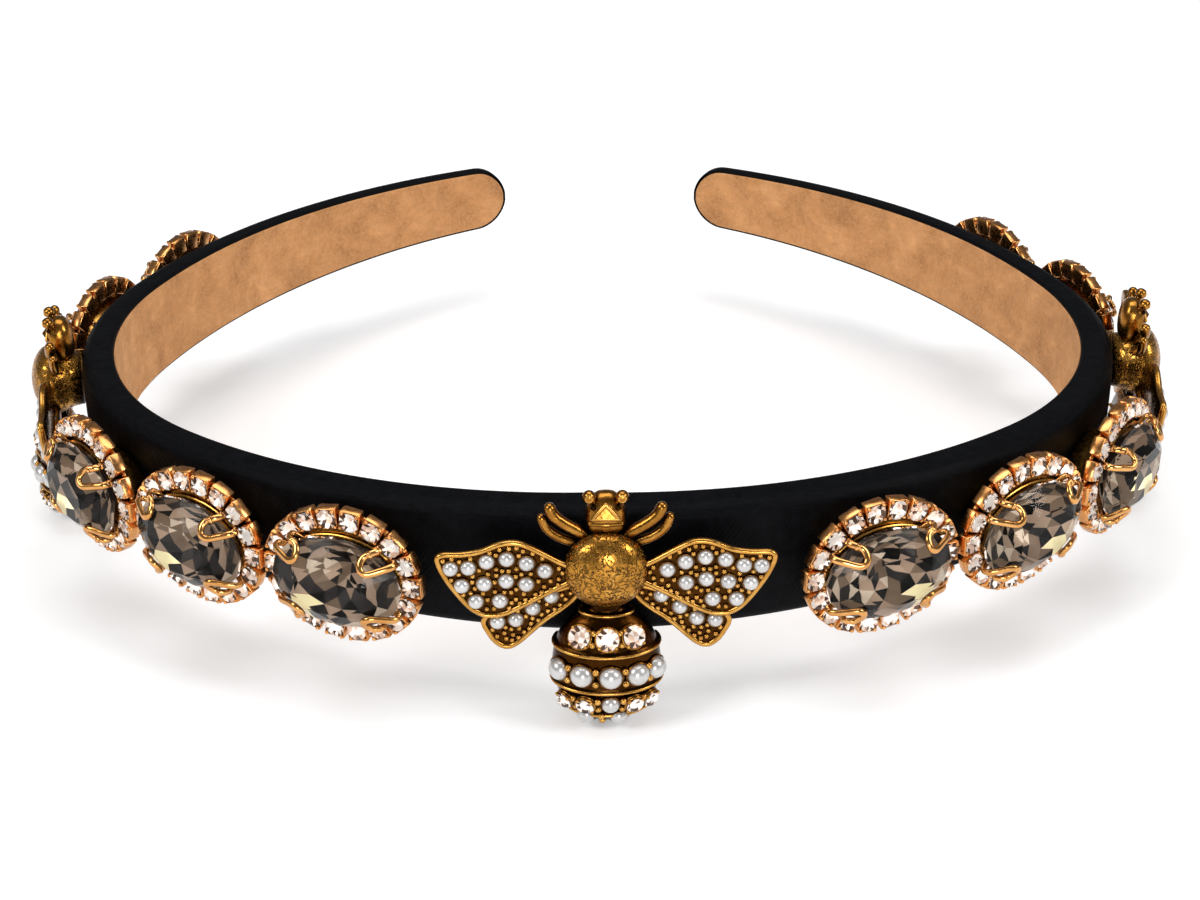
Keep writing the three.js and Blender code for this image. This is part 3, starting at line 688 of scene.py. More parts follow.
def strip(name, section, tip_section, short_of_tip, coat, solid):
    """A strip swept along the band, with its own length and girth as its texture map."""
    rings = []
    stations = band_stations(short_of_tip)
    for distance, share in stations:
        height = smooth_taper(distance, "height") * BAND_HEIGHT
        depth = smooth_taper(distance, "depth") * BAND_DEPTH
        at_tip = abs(distance) >= stations[-1][0]
        shape = tip_section(height, depth) if at_tip else section(height, depth)
        rings.append([band_point(distance, out, up * share) for out, up in shape])
    skin = Skin()
    skin.add(*loft(rings))
    mesh = mesh_of(name, skin, [coat])
    per_ring = len(rings[0])
    layer = mesh.uv_layers.new(name="strip")
    for polygon in mesh.polygons:
        turned = [mesh.loops[i].vertex_index % per_ring for i in polygon.loop_indices]
        wraps = max(turned) - min(turned) > per_ring / 2
        for loop, k in zip(polygon.loop_indices, turned):
            along = stations[mesh.loops[loop].vertex_index // per_ring][0]
            around = k + per_ring if wraps and k < per_ring / 2 else k
            layer.data[loop].uv = (along * MM, around * BAND_GIRTH / per_ring * MM)
    return piece(name, mesh, UNMOVED, solid)


# Places of the jewels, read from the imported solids

def jewel_place(solid, base):
    """A frame with x along the band, -y outwards and z up, at the jewel's seat on the band."""
    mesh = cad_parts[solid].data
    upright = [p for p in mesh.polygons if abs(p.normal.z) < 0.01]
    normal = max(upright, key=lambda p: p.area).normal
    low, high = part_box(solid)
    middle = (low + high) / 2
    outward = Vector((normal.x, normal.y, 0)).normalized()
    if outward.dot(middle) < 0:
        outward.negate()
    along = Vector((-outward.y, outward.x, 0))
    reach = [v.co.dot(along) for v in mesh.vertices]
    foot = min(v.co.dot(outward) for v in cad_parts[base].data.vertices)
    centre = along * ((min(reach) + max(reach)) / 2) + outward * foot
    centre.z = ORIGIN.z * MM if solid == base else middle.z
    return Matrix.Translation(centre) @ Matrix((along, -outward, (0, 0, 1))).transposed().to_4x4()


def out_of_band(x, out, z):
    return Vector((x, -out, z))


def facing_oval(a, b, out, up=0.0):
    """A ring of points round an oval that faces outwards from the band."""
    return [out_of_band(p.x, out, up + p.y) for p in ellipse_ring(a, b, 0, OVAL_SIDES)]


# The way outwards in a jewel's own frame, and the turn from a piece built along z to that way.
OUT = Vector((0, -1, 0))
OUTWARDS = Matrix.Rotation(radians(90), 4, "X")


# Cut stones

# Tints of the foil, which paint the facets' reflections, light and dark; how often each comes among the inner
# and the outer facets, and how many times as often on the upper ones, where the smoky facets take the dark
# tints more often as painted shade.
SMOKE_PAINTED_REFLECTIONS = table("tint inner outer top", [
    ((0.31, 0.225, 0.165), 5, 3, 1.0),
    ((0.15, 0.105, 0.072), 4, 3, 1.0),
    ((0.02, 0.018, 0.018), 2, 5, 2.0),
    ((0.002, 0.002, 0.002), 2, 4, 2.5),
    ((0.52, 0.44, 0.35), 1, 1, 0.7),
])
CLEAR_PAINTED_REFLECTIONS = table("tint inner outer top", [
    ((1.0, 0.93, 0.87), 6, 5, 1.0),
    ((0.78, 0.56, 0.44), 3, 3, 1.0),
    ((0.08, 0.045, 0.03), 1, 3, 1.0),
])
# A painted flash: a pale yellow highlight painted on the foil facets round one spot.
PAINTED_FLASH_TINT = (1.0, 0.90, 0.55)
PAINTED_FLASH_REACH = 1.35
ROUND_TABLE = 0.6

# Rings of points of a stone's underside, as shares of its outline and of its depth.
OVAL_FACETS = table("share depth sides phase", [
    (0.86, 0.16, 16, 0.5),
    (0.72, 0.34, 16, 1.0),
    (0.54, 0.56, 16, 1.5),
    (0.35, 0.76, 16, 2.0),
    (0.17, 0.92, 8, 1.0),
])
ROUND_FACETS = table("share depth sides phase", [(0.5, 0.6, 8, 0.0)])


def crown_of(skin, a, b, girdle, crown, table):
    """The top of a brilliant cut: table, star, kite and girdle facets."""
    tables = ellipse_ring(a, b, girdle + crown, 8, 0.5, table)
    middles = ellipse_ring(a, b, girdle + crown * 0.5, 8, 0.0, table + (1 - table) * 0.56)
    edges = ellipse_ring(a, b, girdle, 16)
    facet(skin, tables)
    for i, middle in enumerate(middles):
        facet(skin, (tables[i - 1], middle, tables[i]))
        facet(skin, (tables[i], middle, edges[2 * i + 1], middles[(i + 1) % 8]))
        facet(skin, (middle, edges[2 * i], edges[2 * i + 1]))
        facet(skin, (middle, edges[2 * i - 1], edges[2 * i]))


def facet(skin, corners, slot=0, tint=UNTINTED):
    skin.add(corners, [range(len(corners))], slot, False, tint)


def facet_tint(chance, painted_reflection_tints, column, centre, b):
    # Upper facets weigh the tints by their top share, so the smoky ones are darker there: painted shade.
    upper = centre.y > 0.15 * b
    weights = [getattr(row, column) * (row.top if upper else 1.0) for row in painted_reflection_tints]
    return chance.choices([row.tint for row in painted_reflection_tints], weights)[0]


def pavilion_of(skin, a, b, girdle, thickness, depth, rows, painted_reflection_tints, flash, seed):
    """The girdle and the foiled underside, in rows of facets that each take a tint that paints a reflection,
    with the painted flash near its spot where one is given.
    """
    chance = random.Random(seed)
    bottom = girdle - thickness
    before = ellipse_ring(a, b, bottom, 16)
    skin.add(ellipse_ring(a, b, girdle, 16) + before, bridge(0, 16, 16), smooth=False)
    for number, row in enumerate(rows):
        ring = ellipse_ring(a, b, bottom - depth * row.depth, row.sides, row.phase, row.share)
        column = "inner" if number >= len(rows) / 2 else "outer"
        for corners in facets_between(before, ring):
            centre = sum(corners, Vector()) / 3
            tint = facet_tint(chance, painted_reflection_tints, column, centre, b)
            # The painted flash replaces the facet's tint near its spot.
            if flash and (centre.xy - flash).length < PAINTED_FLASH_REACH:
                tint = PAINTED_FLASH_TINT
            facet(skin, corners, 1, tint)
        before = ring
    tip = Vector((0, 0, before[0].z - (bottom - before[0].z) * 0.12))
    for k, p in enumerate(before):
        facet(skin, (p, before[(k + 1) % len(before)], tip), 1, facet_tint(chance, painted_reflection_tints, "inner", p, b))


def facets_between(outer, inner):
    """Triangles between a ring and the next, which has as many points, half a step on, or half as many."""
    facets = []
    count = len(inner)
    for i, p in enumerate(inner):
        ahead = inner[(i + 1) % count]
        if len(outer) == count:
            after = outer[(i + 1) % count]
            facets += [(outer[i], after, p), (after, ahead, p)]
        else:
            after = outer[2 * i + 1]
            facets += [(outer[2 * i], after, p), (outer[2 * i - 1], outer[2 * i], p), (after, ahead, p)]
    return facets


def oval_stone(side):
    """A smoky oval with its painted yellow flash low on the side that faces away from the front bee."""
    skin = Skin()
    a = STONE_LENGTH / 2
    b = STONE_WIDTH / 2
    flash = Vector((0.52 * side * a, -0.6 * b))
    crown_of(skin, a, b, CROWN_OUT, STONE_CROWN, STONE_TABLE)
    pavilion_of(skin, a, b, CROWN_OUT, STONE_GIRDLE, STONE_DEPTH, OVAL_FACETS, SMOKE_PAINTED_REFLECTIONS, flash, 11 + side)
    turned = Skin()
    turned.include(skin, OUTWARDS)
    return turned


def small_stone(radius, girdle, crown, depth, seed):
    """A round brilliant built along z."""
    skin = Skin()
    crown_of(skin, radius, radius, girdle, crown, ROUND_TABLE)
    pavilion_of(skin, radius, radius, girdle, crown * 0.15, depth, ROUND_FACETS, CLEAR_PAINTED_REFLECTIONS, None, seed)
    return skin


# The cup and prongs of an oval stone

def cup_outset(out):
    return -CUP_BASE_INSET + (CUP_BASE_INSET - CUP_RIM_INSET) * out / CUP_HEIGHT


def stone_ring(outset, out):
    """A ring at an equal distance from the stone's outline."""
    return facing_oval(STONE_LENGTH / 2 + outset, STONE_WIDTH / 2 + outset, out)


def cup(skin):
    lip = CUP_WALL / 4
    rim = -CUP_RIM_INSET
    turnings = table("out cut", [(0.0, 0.12), (0.15, 0.0), (2.0, 0.12), (3.8, 0.12)])
    profile = [(cup_outset(row.out) - row.cut, row.out) for row in turnings]
    profile += [
        (rim + CUP_FLARE, CUP_HEIGHT - lip),
        (rim + CUP_FLARE, CUP_HEIGHT),
        (rim - CUP_WALL + lip, CUP_HEIGHT),
        (rim - CUP_WALL, CUP_HEIGHT - lip),
        (cup_outset(CUP_FLOOR) - CUP_WALL, CUP_FLOOR),
    ]
    skin.add(*loft([stone_ring(outset, out) for outset, out in profile]))


def gallery(skin):
    """The thin plate that joins the cup to the ring of rhinestones."""
    inner = cup_outset(GALLERY_OUT) - CUP_WALL / 2
    top = GALLERY_OUT + GALLERY_THICKNESS
    a = RING_A - RING_CUP_WIDTH / 2 + GALLERY_LAP
    b = RING_B - RING_CUP_WIDTH / 2 + GALLERY_LAP
    rings = [stone_ring(inner, GALLERY_OUT), stone_ring(inner, top), facing_oval(a, b, top),
             facing_oval(a, b, GALLERY_OUT), stone_ring(inner, GALLERY_OUT)]
    skin.add(*loft(rings, capped=False))


def crown_height(point):
    """How far out the stone's crown is above a place in its plan."""
    share = hypot(point.x / (STONE_LENGTH / 2), point.y / (STONE_WIDTH / 2))
    rise = min(max((1 - share) / (1 - STONE_TABLE), 0.0), 1.0)
    return CROWN_OUT + STONE_CROWN * rise


def reach_to_edge(start, way, outset):
    """How far it is from a start, along a direction, to the stone's outline moved outwards by outset."""
    a = STONE_LENGTH / 2 + outset
    b = STONE_WIDTH / 2 + outset
    at = Vector((start.x / a, start.y / b))
    step = Vector((way.x / a, way.y / b))
    slope = at.dot(step)
    return (-slope + sqrt(slope ** 2 - step.dot(step) * (at.dot(at) - 1))) / step.dot(step)


def prong_path(sideways, upwards):
    """Along one leg from the cup's rim over the stone's edge, round the loop, and back down the other leg."""
    middle = radians(PRONG_ANGLE)
    edge = Vector((sideways * STONE_LENGTH / 2 * cos(middle), upwards * STONE_WIDTH / 2 * sin(middle)))
    leg = (PRONG_WIDTH - PRONG_WIRE) / 2
    lift = CLEARANCE + PRONG_WIRE * PRONG_FLATTEN / 2
    inwards = Vector((-sideways, -upwards * PRONG_SLANT)).normalized()
    across = Vector((-inwards.y, inwards.x))
    tip = edge + inwards * (PRONG_REACH - PRONG_WIRE / 2 - leg)

    def climb(way):
        start = tip + across * way * leg
        length = reach_to_edge(start, -inwards, lift)
        side = start - inwards * length
        rim = side + side.normalized() * (-CUP_RIM_INSET - CUP_WALL / 4 - lift)
        root = side + side.normalized() * (cup_outset(PRONG_ROOT) - lift)
        rows = [(root, PRONG_ROOT), (rim, CUP_HEIGHT - 0.1), (side, CUP_HEIGHT + SEAT_RISE * 0.6),
                (side, CROWN_OUT)]
        for at in (start - inwards * (length - PRONG_KNEE), start - inwards * length * 0.4):
            rows.append((at, crown_height(at) + lift))
        return rows

    route = climb(1)
    for k in range(7):
        turn = pi * k / 6
        at = tip + across * leg * cos(turn) + inwards * leg * sin(turn)
        route.append((at, crown_height(at) + lift))
    route += reversed(climb(-1))
    return [out_of_band(at.x, out, at.y) for at, out in route]


def oval_setting():
    skin = Skin()
    cup(skin)
    gallery(skin)
    for sideways in (1, -1):
        for upwards in (1, -1):
            path = smooth_path(prong_path(sideways, upwards), 4)
            skin.add(*rounded_rod(path, PRONG_WIRE / 2, 10, PRONG_FLATTEN, OUT), slot=1)
    return skin


# The ring of rhinestones

RING_A = (RING_LENGTH - RING_CUP_WIDTH) / 2
RING_B = (RING_WIDTH - RING_CUP_WIDTH) / 2


def ring_places(offset):
    """Places at equal distances round the ring's oval, each with its direction along the ring."""
    path = [p.xy for p in ellipse_ring(RING_A, RING_B, 0, RING_SAMPLES)]
    steps = [q - p for p, q in zip(path, path[1:] + path[:1])]
    whole = sum(step.length for step in steps)
    count = int(whole / (RING_CUP_LENGTH + RING_CUP_GAP))
    places = []
    run = 0.0
    for p, step in zip(path, steps):
        run += step.length
        if len(places) < count and run >= whole * (len(places) + offset) / count:
            places.append((p, step.normalized()))
    return places


def rounded_rectangle(length, width, radius, height):
    ring = []
    for quarter, (sx, sy) in enumerate(((1, 1), (-1, 1), (-1, -1), (1, -1))):
        for k in range(3):
            t = radians(90 * quarter + 45 * k)
            ring.append(Vector((sx * (length / 2 - radius) + radius * cos(t),
                                sy * (width / 2 - radius) + radius * sin(t), height)))
    return ring


# The box from its underside over its rim into its well, with how much less than its full size it is.
BOX_PROFILE = table("less radius height", [
    (0.5, 0.15, 0.0),
    (0.12, 0.15, 0.12),
    (0.0, 0.15, 0.5),
    (0.0, 0.15, RING_CUP_DEPTH - BOX_BEVEL),
    (2 * BOX_BEVEL, 0.12, RING_CUP_DEPTH),
    (2 * RING_CUP_WALL, 0.1, RING_CUP_DEPTH),
    (2 * RING_CUP_WALL, 0.1, RING_CUP_DEPTH - 0.5),
])


def box_cup(number):
    """One rhinestone in its box, built along z from the ring's underside."""
    skin = Skin()
    top = RING_CUP_DEPTH
    rings = []
    for row in BOX_PROFILE:
        length = RING_CUP_LENGTH - row.less
        width = RING_CUP_WIDTH - row.less
        rings.append(rounded_rectangle(length, width, row.radius, row.height))
    skin.add(*loft(rings))
    stone = small_stone(RHINESTONE_RADIUS, top - RHINESTONE_SUNK, RHINESTONE_CROWN, RHINESTONE_DEPTH, number)
    skin.include(stone, Matrix.Rotation(0.4 * number, 4, "Z"), first_slot=1)
    for sx in (1, -1):
        for sy in (1, -1):
            x = sx * (RING_CUP_LENGTH / 2 - CUP_BEAD * 1.1)
            y = sy * (RING_CUP_WIDTH / 2 - CUP_BEAD * 1.05)
            skin.add(*ball(Vector((x, y, top + 0.02)), CUP_BEAD, 8, 6))
    return skin


def rhinestone_ring():
    skin = Skin()
    boxes = [box_cup(number) for number in range(BOX_KINDS)]
    for i, (at, along) in enumerate(ring_places(0)):
        axes = Matrix(((along.x, 0, along.y), (-along.y, 0, along.x), OUT)).transposed().to_4x4()
        place = Matrix.Translation(out_of_band(at.x, RING_STANDOFF, at.y)) @ axes
        skin.include(boxes[i % BOX_KINDS], place)
    radii = [RING_LINK_WIDTH / 2] * 2
    for at, along in ring_places(0.5):
        way = Vector((along.x, 0, along.y)) * (RING_CUP_GAP / 2 + 0.35)
        middle = out_of_band(at.x, RING_STANDOFF + RING_LINK_DEPTH / 2 + 0.1, at.y)
        flatten = RING_LINK_DEPTH / RING_LINK_WIDTH
        skin.add(*tube([middle - way, middle + way], radii, 8, facing=OUT, flatten=flatten))
    return skin


# The bee

ABDOMEN_HALF = ABDOMEN_LENGTH / 2
ABDOMEN_UP = THORAX_UP - THORAX_RADIUS - WAIST_LENGTH - ABDOMEN_HALF
# A bee's materials in their order. A crystal takes CLEAR and the next one, which is its foil.
GOLD, ETCHED, WHITE, CLEAR = range(4)
BRIGHT = CLEAR + 2
WAIST = table("up wide deep", [(1.12, 0.26, 0.3), (1.02, 0.26, 0.3)])


def thorax(skin):
    profile = [(0.0, 0.75), (1.5, 0.8), (2.7, 0.885), (3.4, 0.965)]
    for k in range(DOME_STEPS):
        angle = radians(89 * k / (DOME_STEPS - 1))
        profile.append((THORAX_OUT + THORAX_HEIGHT * sin(angle), cos(angle)))
    rings = [facing_oval(THORAX_RADIUS * wide, THORAX_RADIUS * wide, out, THORAX_UP) for out, wide in profile]
    skin.add(*loft(rings), slot=ETCHED)


def round_abdomen(turn, wide, deep, up):
    """A place at a turn round the abdomen's upright axis."""
    t = radians(turn)
    return out_of_band(wide * sin(t), ABDOMEN_OUT + deep * cos(t), ABDOMEN_UP + ABDOMEN_HALF * up)


def abdomen_point(angle, turn, proud=0.0):
    share = cos(radians(angle))
    wide = ABDOMEN_WIDTH / 2 * (share ** 0.8 if angle > 0 else share)
    return round_abdomen(turn, wide + proud, ABDOMEN_DEPTH * share + proud, sin(radians(angle)))


def abdomen_facing(angle, turn):
    a = radians(angle)
    t = radians(turn)
    wide = cos(a) / (ABDOMEN_WIDTH / 2)
    return out_of_band(wide * sin(t), cos(t) * cos(a) / ABDOMEN_DEPTH, sin(a) / ABDOMEN_HALF).normalized()


def belt(steps):
    """Turns round the abdomen's girth, in degrees."""
    return [-ABDOMEN_BACK + 2 * ABDOMEN_BACK * k / steps for k in range(steps + 1)]


def abdomen(skin):
    girth = belt(48)
    rings = []
    for row in WAIST:
        wide = ABDOMEN_WIDTH / 2 * row.wide
        rings.append([round_abdomen(turn, wide, ABDOMEN_DEPTH * row.deep, row.up) for turn in girth])
    # The waist and the valleys between the ridges are tinted with painted shade.
    painted_shades = [PAINTED_VALLEY_SHADE] * len(WAIST)
    angle = 73.0
    while angle >= ABDOMEN_END:
        near = min(abs(angle - ridge) for ridge in ABDOMEN_RIDGES)
        raised = exp(-((near / 1.8) ** 2))
        proud = (ABDOMEN_RIDGE + ABDOMEN_HOLLOW) * raised - ABDOMEN_HOLLOW
        rings.append([abdomen_point(angle, turn, proud) for turn in girth])
        painted_shades.append(UNTINTED if raised > 0.3 else PAINTED_VALLEY_SHADE)
        angle -= 1.5
    lowest = rings[-1][0].z - 0.02
    end = [abdomen_point(ABDOMEN_END, turn, -0.3) for turn in girth]
    rings.append([Vector((p.x, p.y, max(p.z, lowest))) for p in end])
    first = len(skin.faces)
    points, faces = loft(rings)
    skin.add(points, faces)
    for number, face in enumerate(faces, first):
        skin.looks[number] = (GOLD, True, painted_shades[min(min(face) // len(girth), len(painted_shades) - 1)])


def ridge_wires(skin):
    """The worn, bright crest of each ridge of the abdomen."""
    for ridge in ABDOMEN_RIDGES:
        crest = [abdomen_point(ridge, turn, ABDOMEN_RIDGE - RIDGE_WIRE * 0.4) for turn in belt(24)]
        skin.add(*rounded_rod(crest, RIDGE_WIRE, 8), slot=BRIGHT)


def set_pearl(skin, at, facing, size, wire):
    """A half pearl in a thin gold ring."""
    r = size / 2
    place = seat(at, facing)
    rings = []
    for row in range(8):
        angle = radians(-18 + 105 * row / 7)
        rings.append(ellipse_ring(r * cos(angle), r * cos(angle), r * sin(angle) * 0.86, 16))
    skin.add(*loft(rings), slot=WHITE, place=place)
    skin.add(*ring_bead(r + wire * 0.55, wire, 20), slot=GOLD, tint=PEARL_SEAT, place=place)


def set_crystal(skin, at, facing, size, seed):
    """A round stone on two collars, held by four grains."""
    place = seat(at, facing)
    skin.include(small_stone(size / 2, 0.72, 0.42, 0.5, seed), place, first_slot=CLEAR)
    for height, wire in ((0.1, 0.22), (0.42, 0.17)):
        raised = Matrix.Translation((0, 0, height))
        skin.add(*ring_bead(size / 2 + 0.08, wire, 20), slot=GOLD, place=place @ raised)
    for t in turns(4, 0.5):
        spot = Vector((cos(t), sin(t), 0)) * (size / 2 + 0.06) + Vector((0, 0, 0.66))
        skin.add(*ball(spot, 0.24, 8, 6), slot=BRIGHT, place=place)


def abdomen_stones(skin):
    """Each row's pearls and crystals, with two grains in each gap between them."""
    grain = ball(Vector((0, 0, 0.14)), GRAIN * 1.35, 10, 6)
    for number, row in enumerate(ABDOMEN_ROWS):
        angle = row.angle
        for kind, turn in zip(row.kinds, row.turns):
            at = abdomen_point(angle, turn, -0.1)
            facing = abdomen_facing(angle, turn)
            if kind == "p":
                set_pearl(skin, at, facing, row.size, 0.16)
            else:
                set_crystal(skin, at, facing, row.size, 30 + number)
        lean = 5.5 * row.size / 2.8
        for left, right in zip(row.turns, row.turns[1:]):
            turn = (left + right) / 2
            for row_angle in (angle - lean, angle + lean):
                place = seat(abdomen_point(row_angle, turn), abdomen_facing(row_angle, turn))
                skin.add(*grain, slot=BRIGHT, place=place)


def inset(outline, amount):
    """The outline moved inwards by an amount."""
    area = sum(p.x * q.z - q.x * p.z for p, q in zip(outline[-1:] + outline, outline))
    moved = []
    for i, p in enumerate(outline):
        along = (outline[(i + 1) % len(outline)] - outline[i - 1]).normalized()
        moved.append(p + Vector((-along.z, 0, along.x)) * copysign(amount, area))
    return moved


def inside(point, outline, margin):
    """True where a point is within the outline by more than the margin."""
    crossings = 0
    for p, q in zip(outline, outline[1:] + outline[:1]):
        if (p.z > point.z) != (q.z > point.z):
            crossings += p.x + (point.z - p.z) * (q.x - p.x) / (q.z - p.z) > point.x
    return crossings % 2 == 1 and min((point - p).length for p in outline) > margin


def wing(skin, rows, pearls, side, out, cover=None):
    points = [Vector((side * WING_SPAN * row.out, 0, WING_UP + WING_CHORD * row.up)) for row in rows]
    outline = smooth_path(points, 4, closed=True)
    face = out + WING_THICKNESS - 0.28
    levels = [(inset(outline, 0.25), out), (outline, out + 0.2), (outline, face),
              (inset(outline, WING_RIM * 0.85), face)]
    skin.add(*loft([[p + OUT * level for p in line] for line, level in levels]))
    # The wing's floor is tinted with painted shade.
    skin.looks[-1] = (GOLD, True, PAINTED_WING_FLOOR_SHADE)
    rim = [p + OUT * (out + WING_THICKNESS - WING_RIM * 0.75) for p in inset(outline, WING_RIM * 0.8)]
    skin.add(*tube(rim, [WING_RIM] * len(rim), 8, closed=True), slot=BRIGHT)
    spots = [Vector((side * row.out, 0, WING_UP + row.up)) for row in pearls]
    for spot in spots:
        set_pearl(skin, spot + OUT * (face + 0.12), OUT, WING_PEARL, 0.13)
    grains(skin, outline, spots, face, side, cover)
    return outline


def grains(skin, outline, spots, face, side, cover):
    """Tiny gold grains scattered over the wing between its pearls."""
    chance = random.Random(5)
    grain = ball(Vector(), GRAIN, 8, 5)
    reaches = [abs(p.x) for p in outline]
    heights = [p.z for p in outline]
    taken = []
    for _ in range(GRAIN_TRIES):
        x = chance.uniform(min(reaches), max(reaches))
        z = chance.uniform(min(heights), max(heights))
        at = Vector((side * x, 0, z))
        clear = inside(at, outline, WING_RIM * 1.9 + GRAIN * 0.2)
        clear = clear and not (cover and inside(at, cover, 0.0))
        clear = clear and all((at - spot).length >= WING_PEARL / 2 + GRAIN * 0.8 for spot in spots)
        clear = clear and all((at - other).length >= GRAIN_SPACING for other in taken)
        if clear and (at - Vector((0, 0, THORAX_UP))).length >= THORAX_RADIUS:
            taken.append(at)
            skin.add(*grain, slot=BRIGHT, place=seat(at + OUT * (face + 0.1), OUT))


def limb(skin, rows, side, radius, taper):
    points = [out_of_band(side * THORAX_RADIUS * row.out, WING_OUT * row.rise,
                          THORAX_UP + THORAX_RADIUS * row.up) for row in rows]
    skin.add(*rounded_rod(smooth_path(points, 5), radius, 14, taper=taper))


HEAD_SECTIONS = table("up wide deep out", [
    (3.6, 1.8, 1.3, 2.2),
    (4.5, 2.3, 1.75, 2.3),
    (5.5, 2.5, 1.93, 2.35),
    (6.5, 2.56, 1.96, 2.35),
    (7.6, 2.5, 1.9, 2.35),
    (8.55, 2.2, 1.7, 2.3),
    (9.35, 1.75, 1.35, 2.28),
    (9.84, 1.15, 0.85, 2.25),
    (10.04, 0.4, 0.3, 2.25),
])


def head_point(x, out, up):
    return out_of_band(x, out, THORAX_UP + up)


def head(skin):
    """A rounded lump with a lip and two eye pits."""
    rings = []
    for row in HEAD_SECTIONS:
        ring = []
        for t in turns(32):
            x, out = (copysign(abs(part) ** 0.8, part) for part in (cos(t), sin(t)))
            ring.append(head_point(row.wide * x, row.out + row.deep * out, row.up))
        rings.append(ring)
    skin.add(*loft(rings))
    lip = [head_point(x, 4.2 - abs(x) * 0.2, 6.37) for x in (-1.9, -1.0, 0.0, 1.0, 1.9)]
    skin.add(*rounded_rod(lip, 0.34, 10))
    for side in (-1, 1):
        skin.add(*ball(head_point(side * 1.5, 3.65, 8.52), 0.4, 12, 8), tint=EYE_PIT)


def snout(skin):
    """The three-sided point between the eyes, with a bright rod along each side of its face."""
    top = head_point(0, 3.75, 8.97)
    left = head_point(-1.6, 4.15, 7.17)
    right = head_point(1.6, 4.15, 7.17)
    nose = head_point(0, 4.85, 7.62)
    back = head_point(0, 3.1, 7.82)
    faces = [[0, 1, 3], [0, 3, 2], [1, 2, 3], [0, 4, 1], [0, 2, 4], [1, 4, 2]]
    skin.add([top, left, right, nose, back], faces, smooth=False)
    for a, b in ((top, left), (top, right), (left, right)):
        skin.add(*rounded_rod([a, (a + b) / 2, b], 0.26, 10), slot=BRIGHT)


def feeler(skin, side):
    """A short bent feeler with a knob that wears a small ring."""
    tip = head_point(side * 2.04, 3.6, 10.02)
    path = [head_point(side * 1.2, 2.8, 8.42), head_point(side * 1.7, 3.3, 9.42), tip]
    skin.add(*rounded_rod(smooth_path(path, 4), FEELER_RADIUS, 12))
    skin.add(*ball(tip, FEELER_KNOB, 18, 12))
    skin.add(*ring_bead(0.42, 0.16, 14), slot=BRIGHT, place=seat(tip + OUT * 0.62, OUT))


def bee():
    skin = Skin()
    thorax(skin)
    abdomen(skin)
    ridge_wires(skin)
    abdomen_stones(skin)
    head(skin)
    snout(skin)
    for side in (-1, 1):
        feeler(skin, side)
        forewing = wing(skin, FOREWING, FOREWING_PEARLS, side, WING_OUT)
        wing(skin, HINDWING, HINDWING_PEARLS, side, WING_OUT - HINDWING_STEP, forewing)
        limb(skin, FRONT_LEG, side, LEG_RADIUS, 1.0)
        limb(skin, SECOND_LEG, side, LEG_RADIUS * 0.95, 0.9)
    return skin


# Stage, light and camera

FLOOR_REACH = 3.0


def floor_paper(tree):
    grain = noise(tree, 60, 3, 0.5)
    return {
        "Base Color": ramp(tree, grain, (0.3, (0.86, 0.86, 0.863)), (0.7, (0.88, 0.88, 0.883))),
        "Roughness": 0.6,
        "Specular IOR Level": 0.25,
        "Emission Color": (1.0, 1.0, 1.0),
        "Emission Strength": 0.3,
    }


def stage():
    mesh = bpy.data.meshes.new("floor")
    corners = [(FLOOR_REACH * x, FLOOR_REACH * y, 0) for x, y in ((-1, -1), (1, -1), (1, 1), (-1, 1))]
    mesh.from_pydata(corners, [], [[0, 1, 2, 3]])
    mesh.materials.append(material("floor_paper", floor_paper))
    floor = placed("floor", mesh)


def area_light(name, place, aim, size, power):
    data = bpy.data.lights.new(name, "AREA")
    data.shape = "RECTANGLE"
    data.size, data.size_y = size
    data.energy = power
    turned = (Vector(aim) - Vector(place)).to_track_quat("-Z", "Y").to_matrix().to_4x4()
    placed(name, data, Matrix.Translation(place) @ turned)


def studio():
    scene = bpy.context.scene
    scene.world = bpy.data.worlds.new("studio")
    scene.world.use_nodes = True
    sky = scene.world.node_tree.nodes["Background"]
    sky.inputs["Color"].default_value = (0.95, 0.97, 1.0, 1.0)
    sky.inputs["Strength"].default_value = 0.18
    area_light("overhead", (0.0, 0.15, 1.3), (0, 0, 0), (1.1, 0.8), 9)
    area_light("left", (-0.75, -0.5, 0.7), (0, 0, 0.02), (0.4, 0.4), 5)
    area_light("right", (0.8, -0.35, 0.6), (0, 0, 0.02), (0.3, 0.45), 4)
    area_light("front", (0.05, -0.75, 0.17), (0, 0, 0.02), (0.16, 0.16), 1.6)
    scene.view_settings.view_transform = "Standard"


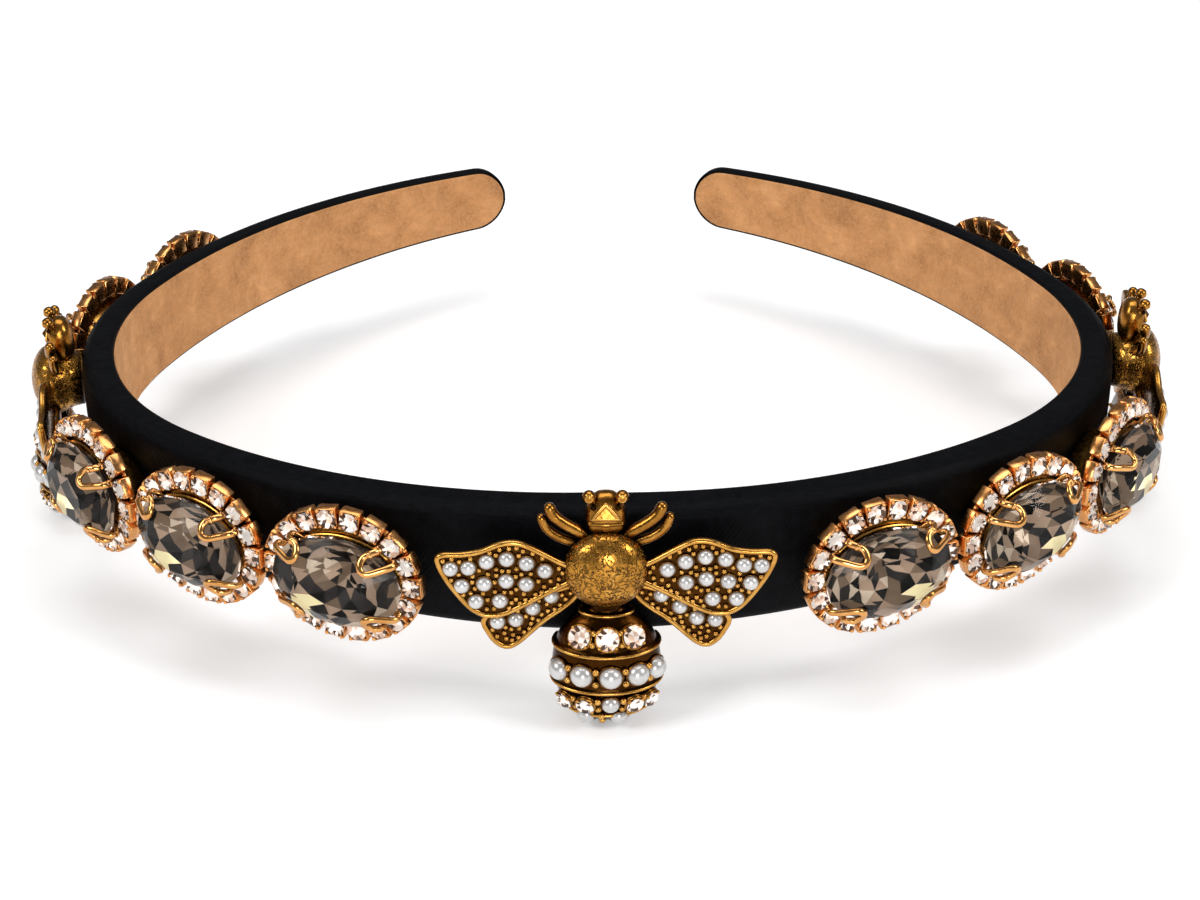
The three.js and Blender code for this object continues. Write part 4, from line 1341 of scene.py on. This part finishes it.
def camera():
    data = bpy.data.cameras.new("camera")
    data.lens = LENS
    data.sensor_width = SENSOR
    data.sensor_fit = "HORIZONTAL"
    data.clip_start = 0.01
    target = Matrix.Translation((ORIGIN + Vector(CAMERA_TARGET)) * MM)
    turn = Matrix.Rotation(radians(CAMERA_TURN), 4, "Z")
    tilt = Matrix.Rotation(radians(90 - CAMERA_ELEVATION), 4, "X")
    roll = Matrix.Rotation(radians(-CAMERA_ROLL), 4, "Z")
    back = Matrix.Translation((0, 0, CAMERA_DISTANCE * MM))
    bpy.context.scene.camera = placed("camera", data, target @ turn @ tilt @ roll @ back)


# Putting it together

camera()
stage()
studio()

satin_coat = material("black_satin", black_satin)
suede_coat = material("suede_lining", suede)
band = strip("satin_band", band_section, band_tip_section, 0.0, satin_coat, "band")
strip("suede_strip", lining_section, lining_section, LINING_MARGIN, suede_coat, "lining")

cast = material("antique_gold", antique_gold)
etched = material("etched_gold", etched_gold)
wire = material("wire_gold", polished_gold, (0.56, 0.255, 0.07), (0.79, 0.41, 0.14), 0.18)
raised = material("raised_gold", polished_gold, (0.43, 0.20, 0.035), (0.68, 0.36, 0.085), 0.25)
plated = material("rose_gold", polished_gold, (0.57, 0.24, 0.07), (0.80, 0.39, 0.138), 0.26)
pearls = material("pearl", pearl)
smoke_glass = material("smoky_glass", cut_glass, (0.94, 0.89, 0.83), 1.15, 0.3)
clear_glass = material("clear_glass", cut_glass, (1.0, 0.96, 0.93), 1.3, 0.4)
smoke_foil = material("smoky_foil", foil, 0.35, 0.4, 0.3)
clear_foil = material("clear_foil", foil, 0.6, 0.2, 0.42)

stone_meshes = {side: mesh_of("oval_stone_" + side, oval_stone(way), [smoke_glass, smoke_foil])
                for side, way in SIDES.items()}
setting_mesh = mesh_of("oval_setting", oval_setting(), [raised, wire])
ring_mesh = mesh_of("rhinestone_ring", rhinestone_ring(), [plated, clear_glass, clear_foil])
bee_mesh = mesh_of("bee", bee(), [cast, etched, pearls, clear_glass, clear_foil, raised])

for name in OVALS:
    place = jewel_place(name + "_stone", name + "_setting")
    piece(name + "_cut_stone", stone_meshes[name.split("_")[1]], place, name + "_stone")
    piece(name + "_cup", setting_mesh, place, name + "_setting")
    piece(name + "_rhinestones", ring_mesh, place, name + "_ring")
for name in BEES:
    piece(name + "_cast", bee_mesh, jewel_place(name, name), name)
